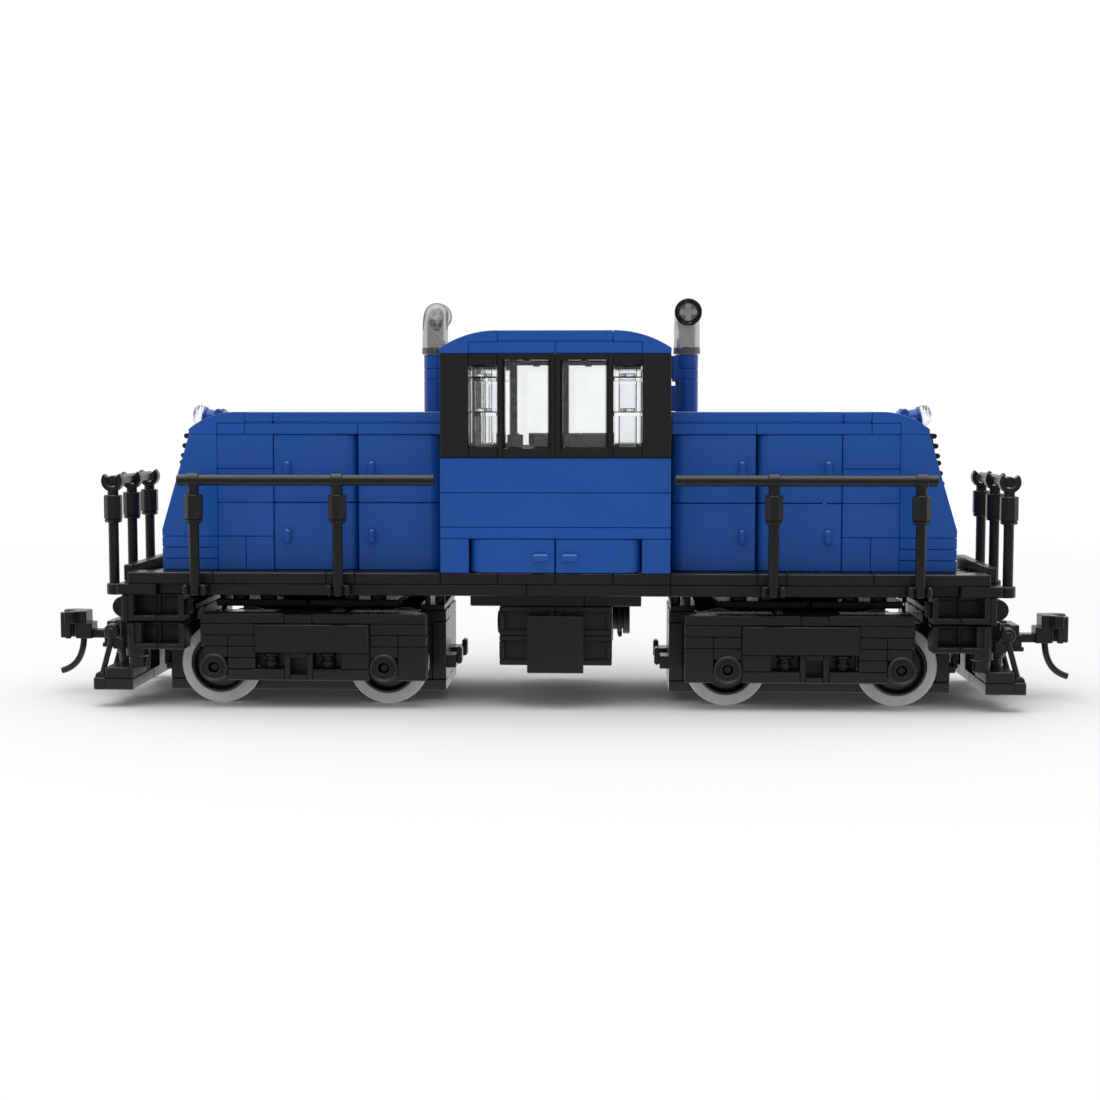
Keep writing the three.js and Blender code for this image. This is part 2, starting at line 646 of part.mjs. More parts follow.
piece("underframe_deck", underframeDeck(), BLACK);
piece("cab_walls", cabWalls(), BLUE);
piece("cab_window_frame", cabWindowFrame(), BLACK);
piece("cab_glazing", cabGlazing(), CLEAR);
piece("cab_roof", cabRoof(), BLUE);
piece("cab_console", cabConsole(), BLACK);
piece("fuel_tank", fuelTank(), BLACK);
piece("air_compressor", airCompressor(), BLACK);
piece("battery_box", batteryBox(), DARK_GREY, [-1, 1]);
piece("control_receiver", controlReceiver(), BLACK);

for (const [side, x] of Object.entries(SIDES)) {
  piece(`end_beam_${side}`, endBeam(), BLACK, [x, 1]);
  piece(`coupler_${side}`, coupler(), BLACK, [x, 1]);
  piece(`end_handrail_${side}`, endHandrail(), BLACK, [x, 1]);
  piece(`hood_shell_${side}`, hoodShell(), BLUE, [x, 1]);
  piece(`hood_cover_${side}`, hoodCover(), BLUE, [x, 1]);
  piece(`radiator_grille_${side}`, radiatorGrille(), BLACK, [x, 1]);
  piece(`headlight_${side}`, headlight(), CLEAR, [x, 1]);
  piece(`exhaust_pipe_${side}`, exhaustPipe(), BLUE, [x, 1]);
  piece(`exhaust_elbow_${side}`, exhaustElbow(-x), SMOKE, [x, 1]);
  piece(`bogie_frame_${side}`, bogieFrame(), BLACK, [x, 1]);
  piece(`traction_motor_${side}`, tractionMotor(), BLACK, [x, 1]);
  piece(`wheelset_${side}_inner`, wheelset(AXLES_X[0]), RIM_METAL, [x, 1]);
  piece(`wheelset_${side}_outer`, wheelset(AXLES_X[1]), RIM_METAL, [x, 1]);
  for (const [flank, y] of Object.entries(FLANKS)) {
    piece(`side_handrail_${side}_${flank}`, sideHandrail(), BLACK, [x, y]);
    piece(`cab_door_${side}_${flank}`, cabDoor(), BLUE, [x, y]);
    for (const [column, place] of ["cab_end", "nose_end"].entries()) {
      for (const [row, level] of ["lower", "upper"].entries()) {
        piece(`hood_door_${side}_${flank}_${place}_${level}`, hoodDoor(column, row), BLUE, [x, y]);
      }
    }
  }
}

export default locomotive;
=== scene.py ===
"""A model diesel locomotive built from interlocking bricks: its looks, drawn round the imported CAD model.

X runs along the locomotive, Y across it and Z up. Sizes are in millimetres until a piece is released, when
they become metres. Shapes are drawn once, for the right end and the far side, and mirrored to the other places.
"""

import logging
import math
from collections.abc import Iterable, Sequence
from dataclasses import dataclass
from enum import Enum

import bpy
import numpy as np
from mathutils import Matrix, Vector


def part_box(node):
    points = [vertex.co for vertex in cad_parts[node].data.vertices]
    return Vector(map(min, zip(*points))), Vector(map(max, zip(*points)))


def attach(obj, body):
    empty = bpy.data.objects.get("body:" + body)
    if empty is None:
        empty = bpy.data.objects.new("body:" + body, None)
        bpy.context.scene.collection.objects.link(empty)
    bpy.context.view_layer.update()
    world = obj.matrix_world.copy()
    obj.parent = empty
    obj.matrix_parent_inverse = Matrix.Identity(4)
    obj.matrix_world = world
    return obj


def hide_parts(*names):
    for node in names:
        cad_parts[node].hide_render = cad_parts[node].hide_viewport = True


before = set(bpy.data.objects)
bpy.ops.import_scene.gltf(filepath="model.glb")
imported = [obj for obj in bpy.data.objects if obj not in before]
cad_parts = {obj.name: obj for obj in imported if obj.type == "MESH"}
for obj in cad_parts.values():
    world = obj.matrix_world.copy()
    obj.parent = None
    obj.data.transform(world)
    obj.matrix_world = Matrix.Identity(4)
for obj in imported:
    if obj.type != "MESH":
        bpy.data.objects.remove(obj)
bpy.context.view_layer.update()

LOG = logging.getLogger("locomotive")
Array = np.ndarray
Span = tuple[float, float]
Point = Sequence[float]
Mirror = tuple[int, int]

MM = 0.001
STUD = 8.0  # pitch of the brick grid
PLATE = 3.2  # height of a plate
BRICK = 3 * PLATE
EDGE = 0.2  # width of the cut along every edge of a brick
GAP = 0.04  # a brick stands back this much from each side of its place in the grid
ARC_DROP = 4.9  # how far a curved slope brick comes down over its length
LEAF_MARGIN = 0.08  # a door leaf's extra height at its foot and at its head
FLOOR_DROP = 0.00005  # in metres: the floor lies this far under the wheels
SMOOTH_BELOW = math.radians(34)  # faces that meet at less than this angle shade as one surface

SIDES = {"left": -1, "right": 1}
FLANKS = {"near": -1, "far": 1}


class Axis(Enum):
    """The direction a flat outline is carried along, with where its u, v and level go in x, y, z."""

    X = (2, 0, 1)
    Y = (0, 2, 1)
    Z = (0, 1, 2)


class Slot(Enum):
    """The material slots of the record."""

    BLUE = "blue_plastic"
    BLACK = "black_plastic"
    CLEAR = "clear_plastic"
    SMOKE = "smoke_plastic"
    GREY = "dark_grey_plastic"
    RIM = "wheel_metal"


# ---------- finishes ----------


class Graph:
    """A node material being wired, whose patterns all read Object coordinates."""

    def __init__(self, name: str) -> None:
        """Starts an empty material with a shader.

        Args:
            name: The material's name.
        """
        self.material = bpy.data.materials.new(name)
        self.material.use_nodes = True
        self.nodes = self.material.node_tree.nodes
        self.links = self.material.node_tree.links
        self.shader = self.nodes["Principled BSDF"]
        self.place = self.nodes.new("ShaderNodeTexCoord").outputs["Object"]

    def noise(self, scale: float, detail: float = 2.0, stretch: Point = (1, 1, 1)) -> bpy.types.NodeSocket:
        """Makes a noise pattern.

        Args:
            scale: Grains per metre.
            detail: Octaves of finer noise.
            stretch: How much faster the pattern runs along each axis.

        Returns:
            The socket that carries the noise, from 0 to 1.
        """
        mapping = self.nodes.new("ShaderNodeMapping")
        mapping.inputs["Scale"].default_value = stretch
        self.links.new(self.place, mapping.inputs["Vector"])
        noise = self.nodes.new("ShaderNodeTexNoise")
        noise.inputs["Scale"].default_value = scale
        noise.inputs["Detail"].default_value = detail
        self.links.new(mapping.outputs["Vector"], noise.inputs["Vector"])
        return noise.outputs["Fac"]

    def blend(self, pattern: bpy.types.NodeSocket, first: Sequence[float], second: Sequence[float]) -> None:
        """Colours the surface between two colours, by a pattern."""
        ramp = self.nodes.new("ShaderNodeValToRGB")
        ramp.color_ramp.elements[0].position = 0.3
        ramp.color_ramp.elements[0].color = (*first, 1)
        ramp.color_ramp.elements[1].position = 0.7
        ramp.color_ramp.elements[1].color = (*second, 1)
        self.links.new(pattern, ramp.inputs["Fac"])
        self.links.new(ramp.outputs["Color"], self.shader.inputs["Base Color"])

    def gloss(self, pattern: bpy.types.NodeSocket, low: float, high: float) -> None:
        """Varies the roughness between two values, by a pattern."""
        spread = self.nodes.new("ShaderNodeMapRange")
        spread.inputs["To Min"].default_value = low
        spread.inputs["To Max"].default_value = high
        self.links.new(pattern, spread.inputs["Value"])
        self.links.new(spread.outputs["Result"], self.shader.inputs["Roughness"])

    def relief(self, pattern: bpy.types.NodeSocket, height: float, strength: float) -> None:
        """Raises the surface by a pattern.

        Args:
            pattern: The socket to read.
            height: Height of the relief, in millimetres.
            strength: Share of it that shows.
        """
        bump = self.nodes.new("ShaderNodeBump")
        bump.inputs["Distance"].default_value = height * MM
        bump.inputs["Strength"].default_value = strength
        self.links.new(pattern, bump.inputs["Height"])
        self.links.new(bump.outputs["Normal"], self.shader.inputs["Normal"])


@dataclass(frozen=True)
class MouldedPlastic:
    """Glossy opaque plastic: nearly even in colour, with the faint flow and ripple that moulding leaves."""

    colour: tuple[float, float, float]
    variation: float = 0.035
    roughness: tuple[float, float] = (0.16, 0.26)
    reflection: float = 0.4

    def make(self, name: str) -> bpy.types.Material:
        """Builds the material: broad noise in the colour, finer in the roughness, finest in the surface."""
        graph = Graph(name)
        first = [part * (1 - self.variation) for part in self.colour]
        second = [part * (1 + self.variation) for part in self.colour]
        graph.blend(graph.noise(42, 3), first, second)
        graph.gloss(graph.noise(420, 3), *self.roughness)
        graph.relief(graph.noise(90, 1), 0.02, 0.12)
        graph.shader.inputs["Specular IOR Level"].default_value = self.reflection
        return graph.material


@dataclass(frozen=True)
class SeeThroughPlastic:
    """Clear or tinted plastic with a slightly rippled, polished surface."""

    colour: tuple[float, float, float]
    roughness: tuple[float, float] = (0.01, 0.05)
    refraction: float = 1.5

    def make(self, name: str) -> bpy.types.Material:
        """Builds the material: full transmission, with noise in the tint, roughness and surface."""
        graph = Graph(name)
        graph.blend(graph.noise(160, 2), [part * 0.96 for part in self.colour], self.colour)
        graph.gloss(graph.noise(500, 2), *self.roughness)
        graph.relief(graph.noise(260, 1), 0.03, 0.25)
        graph.shader.inputs["Transmission Weight"].default_value = 1.0
        graph.shader.inputs["IOR"].default_value = self.refraction
        return graph.material


@dataclass(frozen=True)
class TurnedMetal:
    """The bright face of a turned wheel rim, with fine rings about its own axle."""

    colour: tuple[float, float, float]
    centre: tuple[float, float]
    ring_pitch: float = 0.09

    def make(self, name: str) -> bpy.types.Material:
        """Builds the material: rings by distance from the axle, in the surface and in the roughness."""
        graph = Graph(name)
        move = graph.nodes.new("ShaderNodeMapping")
        move.vector_type = "POINT"
        move.inputs["Location"].default_value = (-self.centre[0] * MM, 0, -self.centre[1] * MM)
        move.inputs["Scale"].default_value = (1, 0, 1)
        graph.links.new(graph.place, move.inputs["Vector"])
        rings = graph.nodes.new("ShaderNodeTexWave")
        rings.wave_type = "RINGS"
        rings.rings_direction = "SPHERICAL"
        rings.inputs["Scale"].default_value = 1 / (self.ring_pitch * MM) / 20
        rings.inputs["Distortion"].default_value = 0.6
        graph.links.new(move.outputs["Vector"], rings.inputs["Vector"])
        graph.blend(graph.noise(180, 3), [part * 0.9 for part in self.colour], self.colour)
        graph.gloss(graph.noise(700, 2), 0.38, 0.5)
        graph.relief(rings.outputs["Fac"], 0.01, 0.3)
        graph.shader.inputs["Metallic"].default_value = 0.25
        return graph.material


FINISHES = {
    Slot.BLUE: MouldedPlastic((0.011, 0.078, 0.345)),
    Slot.BLACK: MouldedPlastic((0.0135, 0.0133, 0.013), 0.04, (0.24, 0.3), 0.4),
    Slot.GREY: MouldedPlastic((0.09, 0.1, 0.105), 0.07, (0.3, 0.4)),
    Slot.CLEAR: SeeThroughPlastic((0.97, 0.985, 0.99)),
    Slot.SMOKE: SeeThroughPlastic((0.46, 0.45, 0.44), (0.03, 0.09)),
}
RIM_COLOUR = (0.6, 0.6, 0.6)


class Shop:
    """The made materials, one for each slot, and one for each wheelset's rims."""

    def __init__(self) -> None:
        """Makes the material of every plastic slot."""
        self.stock = {slot: finish.make(slot.value) for slot, finish in FINISHES.items()}

    def of(self, slot: Slot) -> bpy.types.Material:
        """Gives the material of a plastic slot."""
        return self.stock[slot]

    def rim(self, name: str, centre: tuple[float, float]) -> bpy.types.Material:
        """Makes a rim material centred on one axle."""
        return TurnedMetal(RIM_COLOUR, centre).make(name)


# ---------- outlines ----------


def directions(outline: Array) -> Array:
    """Unit steps from each corner of a closed outline to the next."""
    step = np.roll(outline, -1, 0) - outline
    return step / np.linalg.norm(step, axis=1, keepdims=True)


def inset(outline: Array, depth: float) -> Array:
    """Moves every side of a closed outline inwards by the same depth.

    A corner moves along the sum of its two side normals, divided by one plus their product. The outline's
    signed area says which side is inwards.

    Args:
        outline: Corners, one row each.
        depth: How far the sides move.

    Returns:
        The moved corners.
    """
    step = directions(outline)
    normal = np.stack([-step[:, 1], step[:, 0]], 1)
    before = np.roll(normal, 1, 0)
    following = np.roll(outline, -1, 0)
    area = (outline[:, 0] * following[:, 1] - outline[:, 1] * following[:, 0]).sum()
    share = 1 + (normal * before).sum(1, keepdims=True)
    return outline + math.copysign(depth, area) * (normal + before) / share


def bevelled(corners: Iterable[Sequence[float]], cut: float = EDGE) -> Array:
    """Cuts every corner of an outline: two points take its place, each at `cut` along one of its sides."""
    outline = np.array(list(corners), float)
    ahead = directions(outline)
    behind = -np.roll(ahead, 1, 0)
    return np.stack([outline + cut * behind, outline + cut * ahead], 1).reshape(-1, 2)


def rectangle(u: Span, v: Span, cut: float = EDGE) -> Array:
    """A rectangle between two values of u and two of v, with cut corners."""
    return bevelled([(u[0], v[0]), (u[1], v[0]), (u[1], v[1]), (u[0], v[1])], cut)


def circle(radius: float, centre: Sequence[float] = (0, 0), sides: int = 24) -> Array:
    """A regular polygon about a centre, with a flat side at the bottom."""
    angle = (np.arange(sides) + 0.5) * 2 * np.pi / sides - np.pi / 2
    return np.stack([centre[0] + radius * np.cos(angle), centre[1] + radius * np.sin(angle)], 1)


def oval(half_u: float, half_v: float, centre: Sequence[float], sides: int = 20) -> Array:
    """A stadium: a circle of the smaller half size, pulled apart along the longer one."""
    radius = min(half_u, half_v)
    outline = circle(radius, sides=sides)
    outline += np.sign(outline) * (np.array([half_u, half_v]) - radius)
    return outline + np.array(centre)


def arc(centre: Sequence[float], radius: float, turn: Span, steps: int) -> Array:
    """Points on part of a circle, from one angle to another in degrees."""
    angle = np.radians(np.linspace(*turn, steps + 1))
    return np.stack([centre[0] + radius * np.cos(angle), centre[1] + radius * np.sin(angle)], 1)


def span(sign: int, first: float, second: float) -> Span:
    """A span on one side of the middle, in rising order."""
    low, high = sorted((sign * first, sign * second))
    return low, high


# ---------- drawing ----------


@dataclass(frozen=True)
class Box:
    """The place of a CAD node, in millimetres."""

    x: Span
    y: Span
    z: Span

    @classmethod
    def of(cls, node: str) -> "Box":
        """Reads a node's box from the frame."""
        low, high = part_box(node)
        return cls(*((a / MM, b / MM) for a, b in zip(low, high)))


class Draft:
    """A piece being drawn as closed shells that become one mesh."""

    def __init__(self, name: str, mirror: Mirror = (1, 1)) -> None:
        """Starts an empty piece.

        Args:
            name: The piece's name.
            mirror: The sign of X and of Y where it goes.
        """
        self.name = name
        self.mirror = np.array([*mirror, 1.0])
        self.points: list[Array] = []
        self.faces: list[list[int]] = []
        self.count = 0

    def skin(self, grid: Array, ring: bool = False) -> None:
        """Adds a surface that is a function of two parameters: rows of points, each closed on itself.

        Quads join neighbouring rows. The first and last rows are filled with a face each, or joined to each
        other. The volume, a sixth of the sum of the triple products of the faces' corners, tells which way
        the faces turn, and they are reversed where it is negative.

        Args:
            grid: Points, as rows by points by three.
            ring: Whether the last row joins the first.
        """
        rows, columns = grid.shape[:2]
        row = np.arange(rows if ring else rows - 1)[:, None]
        column = np.arange(columns)[None, :]
        beside = (column + 1) % columns
        above = (row + 1) % rows
        places = ((row, column), (row, beside), (above, beside), (above, column))
        corners = tuple(down * columns + along for down, along in places)
        quads = np.stack(np.broadcast_arrays(*corners), -1).reshape(-1, 4)
        caps = [] if ring else [np.arange(columns)[::-1], (rows - 1) * columns + np.arange(columns)]
        points = grid.reshape(-1, 3) * self.mirror
        a, b, c, d = (points[quads[:, i]] for i in range(4))
        volume = (a * (np.cross(b, c) + np.cross(c, d))).sum()
        for cap in caps:
            edge = points[cap]
            volume += edge.mean(0) @ np.cross(edge, np.roll(edge, -1, 0)).sum(0)
        faces = quads.tolist() + [cap.tolist() for cap in caps]
        if volume < 0:
            faces = [face[::-1] for face in faces]
        self.faces += [[corner + self.count for corner in face] for face in faces]
        self.points.append(points)
        self.count += len(points)

    def prism(self, axis: Axis, outline: Array, level: Span, edge: float = EDGE) -> None:
        """Carries an outline along an axis: inset at both ends, whole in between, so its ends are bevelled.

        Args:
            axis: The axis to carry it along.
            outline: Corners across that axis.
            level: Where it starts and ends.
            edge: Width of the bevel.
        """
        low, high = sorted(level)
        small = inset(outline, edge)
        rings = np.stack([small, outline, outline, small])
        levels = np.array([low, low + edge, high - edge, high])
        flat = np.broadcast_to(levels[:, None, None], (*rings.shape[:2], 1))
        self.skin(np.concatenate([rings, flat], 2)[..., list(axis.value)])

    def brick(self, x: Span, y: Span, z: Span, edge: float = EDGE, gap: float = GAP) -> None:
        """A block with every edge bevelled, standing back a little from its place in the grid."""
        (x0, x1), (y0, y1), (z0, z1) = (sorted(side) for side in (x, y, z))
        outline = rectangle((x0 + gap, x1 - gap), (y0 + gap, y1 - gap), edge)
        self.prism(Axis.Z, outline, (z0 + gap, z1 - gap), edge)

    def row(self, joints: Sequence[float], y: Span, z: Span) -> None:
        """A row of bricks along X, with a joint at each given place."""
        for x in zip(joints, joints[1:]):
            self.brick(x, y, z)

    def column(self, joints: Sequence[float], x: Span, z: Span) -> None:
        """A row of bricks along Y, with a joint at each given place."""
        for y in zip(joints, joints[1:]):
            self.brick(x, y, z)

    def lathe(
        self,
        start: Sequence[float],
        along: Sequence[float],
        profile: Iterable[Sequence[float]],
        sides: int = 24,
        ring: bool = False,
    ) -> None:
        """Turns a profile about an axis: each point goes round a circle at its own distance from the axis.

        Args:
            start: Where distances along the axis begin.
            along: The axis.
            profile: Pairs of distance along the axis and radius.
            sides: Sides of the circle.
            ring: Whether the profile is a closed loop away from the axis.
        """
        axis = np.array(along, float) / np.linalg.norm(along)
        aside = np.cross(axis, (0, 0, 1) if abs(axis[2]) < 0.9 else (0, 1, 0))
        aside /= np.linalg.norm(aside)
        up = np.cross(axis, aside)
        angle = (np.arange(sides) + 0.5) * 2 * np.pi / sides
        spoke = np.cos(angle)[:, None] * aside + np.sin(angle)[:, None] * up
        distance, radius = np.array(list(profile), float).T
        self.skin(np.array(start) + distance[:, None, None] * axis + radius[:, None, None] * spoke, ring)

    def bar(self, start: Point, end: Point, radius: float, sides: int = 20, edge: float = EDGE) -> None:
        """A round bar between two points, with bevelled ends."""
        along = np.subtract(end, start)
        length = float(np.linalg.norm(along))
        profile = [(0, radius - edge), (edge, radius), (length - edge, radius), (length, radius - edge)]
        self.lathe(start, along, profile, sides)

    def tube(self, start: Point, end: Point, outer: float, inner: float, sides: int = 24) -> None:
        """A round tube between two points, open through the middle, with bevelled rims."""
        along = np.subtract(end, start)
        length = float(np.linalg.norm(along))
        profile = [
            (EDGE, outer), (length - EDGE, outer), (length, outer - EDGE), (length, inner + EDGE),
            (length - EDGE, inner), (EDGE, inner), (0, inner + EDGE), (0, outer - EDGE),
        ]
        self.lathe(start, along, profile, sides, ring=True)

    def sweep(self, path: Array, radius: Array | float, aside: Sequence[float], sides: int = 16) -> None:
        """Carries a circle along a flat curve: a spoke of it turns with the curve, the other stays across it.

        Args:
            path: Points of the curve.
            radius: The circle's radius, at each point or all along.
            aside: The direction that the curve never leaves its plane along.
            sides: Sides of the circle.
        """
        tangent = np.gradient(path, axis=0)
        tangent /= np.linalg.norm(tangent, axis=1, keepdims=True)
        across = np.broadcast_to(np.array(aside, float), path.shape)
        up = np.cross(tangent, across)
        angle = np.arange(sides) * 2 * np.pi / sides
        cosine, sine = np.cos(angle)[None, :, None], np.sin(angle)[None, :, None]
        circle_points = cosine * across[:, None] + sine * up[:, None]
        size = np.broadcast_to(np.asarray(radius, float), (len(path),))
        self.skin(path[:, None] + size[:, None, None] * circle_points)

    def clip(self, axis: Axis, centre: Point, level: Span, opening: float, outer: float, inner: float) -> None:
        """A C-shaped clip: a thick arc, open over 90 degrees about one direction, carried along an axis.

        Args:
            axis: The axis of the bar that it holds.
            centre: Its place across that axis.
            level: Where it starts and ends.
            opening: The direction of its mouth, in degrees.
            outer: Radius outside.
            inner: Radius inside.
        """
        start, end = opening + 48, opening + 312
        outside = arc(centre, outer, (start, end), 16)
        inside = arc(centre, inner, (end, start), 16)
        self.prism(axis, np.concatenate([outside, inside]), level, edge=0.1)

    def tile(self, x: Span, y: Span, z: Span) -> None:
        """A smooth plate with a thin groove round its foot, which leaves a dark line under it."""
        groove = 0.32
        inset_x, inset_y = ((low + groove, high - groove) for low, high in (x, y))
        self.brick(inset_x, inset_y, (z[0], z[0] + groove + 0.1), 0.05, 0)
        self.brick(x, y, (z[0] + groove, z[1]))

    def stud(self, x: float, y: float, z: float) -> None:
        """A round stud standing on a brick."""
        self.bar((x, y, z - 0.4), (x, y, z + 1.7), 2.4, 20)

    def release(
        self, slot: Slot, shop: Shop, body: str, *nodes: str, dress: bpy.types.Material | None = None
    ) -> None:
        """Makes the mesh, gives it its finish, and lets it ride on a body in place of CAD nodes.

        Args:
            slot: The record's slot.
            shop: Where the material comes from.
            body: The CAD body it moves with.
            nodes: The CAD nodes it stands for.
            dress: A material to use in place of the slot's own.
        """
        mesh = bpy.data.meshes.new(self.name)
        mesh.from_pydata((np.concatenate(self.points) * MM).tolist(), [], self.faces)
        mesh.materials.append(dress or shop.of(slot))
        mesh.shade_smooth()
        mesh.set_sharp_from_angle(angle=SMOOTH_BELOW)
        made = bpy.data.objects.new(self.name, mesh)
        bpy.context.scene.collection.objects.link(made)
        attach(made, body)
        if nodes:
            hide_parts(*nodes)
        LOG.info("%s: %d faces on %s", self.name, len(self.faces), body)


DECK_TOP = Box.of("cab_walls").z[0]
DECK_UNDER = DECK_TOP - 2 * PLATE
BODY = "locomotive"


# ---------- underframe ----------


@dataclass
class Deck:
    """Two layers of black plates that carry everything, with the centre plate under the cab."""

    shop: Shop
    upper_joints: tuple[float, ...] = (-112, -96, -64, -56, -32, -16, 0, 16, 32, 56, 64, 88, 112)
    lower_joints: tuple[float, ...] = (-57, -8, 32, 57)
    centre_half: tuple[float, float] = (24, 28)
    turntable_radius: float = 10

    def build(self) -> None:
        """Lays both layers, the edge strips with gaps for the posts, and the studs the doors turn on."""
        box = Box.of("underframe_deck")
        end, side = box.x[1], box.y[1]
        draft = Draft("deck_plates")
        top = (DECK_UNDER + PLATE, DECK_TOP)
        low = (DECK_UNDER, DECK_UNDER + PLATE)
        for y in ((-24, -8), (-8, 8), (8, 24)):
            draft.row(self.upper_joints, y, top)
        for flank in (-1, 1):
            strip = span(flank, 24, side)
            draft.row((-end, *self.upper_joints[1:-1], end), strip, top)
            edge = span(flank, side - 2, side)
            inner = span(flank, 24, side - 2)
            draft.row(self.lower_joints, edge, low)
            draft.row((-57, 0, 57), inner, low)
            for x in (-1, 1):
                draft.brick(span(x, 57, 104), inner, low)
                draft.brick(span(x, 63, 97), edge, low)
                draft.brick(span(x, 102.6, 104), edge, low)
                draft.brick(span(x, 112, 120.4), span(flank, 24, side), low)
                draft.brick(span(x, 104, 112), span(flank, 24, side - 3.2), low)
        draft.row((-120, -80, -32, 32, 80, 120), (-24, 24), low)
        draft.row((-24, 8, 24), (-28, 28), (DECK_UNDER - PLATE, DECK_UNDER))
        for x in (-1, 1):
            for y in (-20, -12, -4, 4, 12, 20):
                draft.stud(x * 116, y, DECK_UNDER + PLATE)
            centre = x * 72
            draft.bar((centre, 0, 29.6), (centre, 0, DECK_UNDER + 0.5), self.turntable_radius, 40)
            draft.bar((centre, 0, 21.5), (centre, 0, 30), 2.4)
            for u, v in ((36, 20), (60, 20), (20, 28)):
                for y in (-1, 1):
                    draft.stud(x * u, y * v, DECK_TOP)
        draft.release(Slot.BLACK, self.shop, BODY, "underframe_deck")


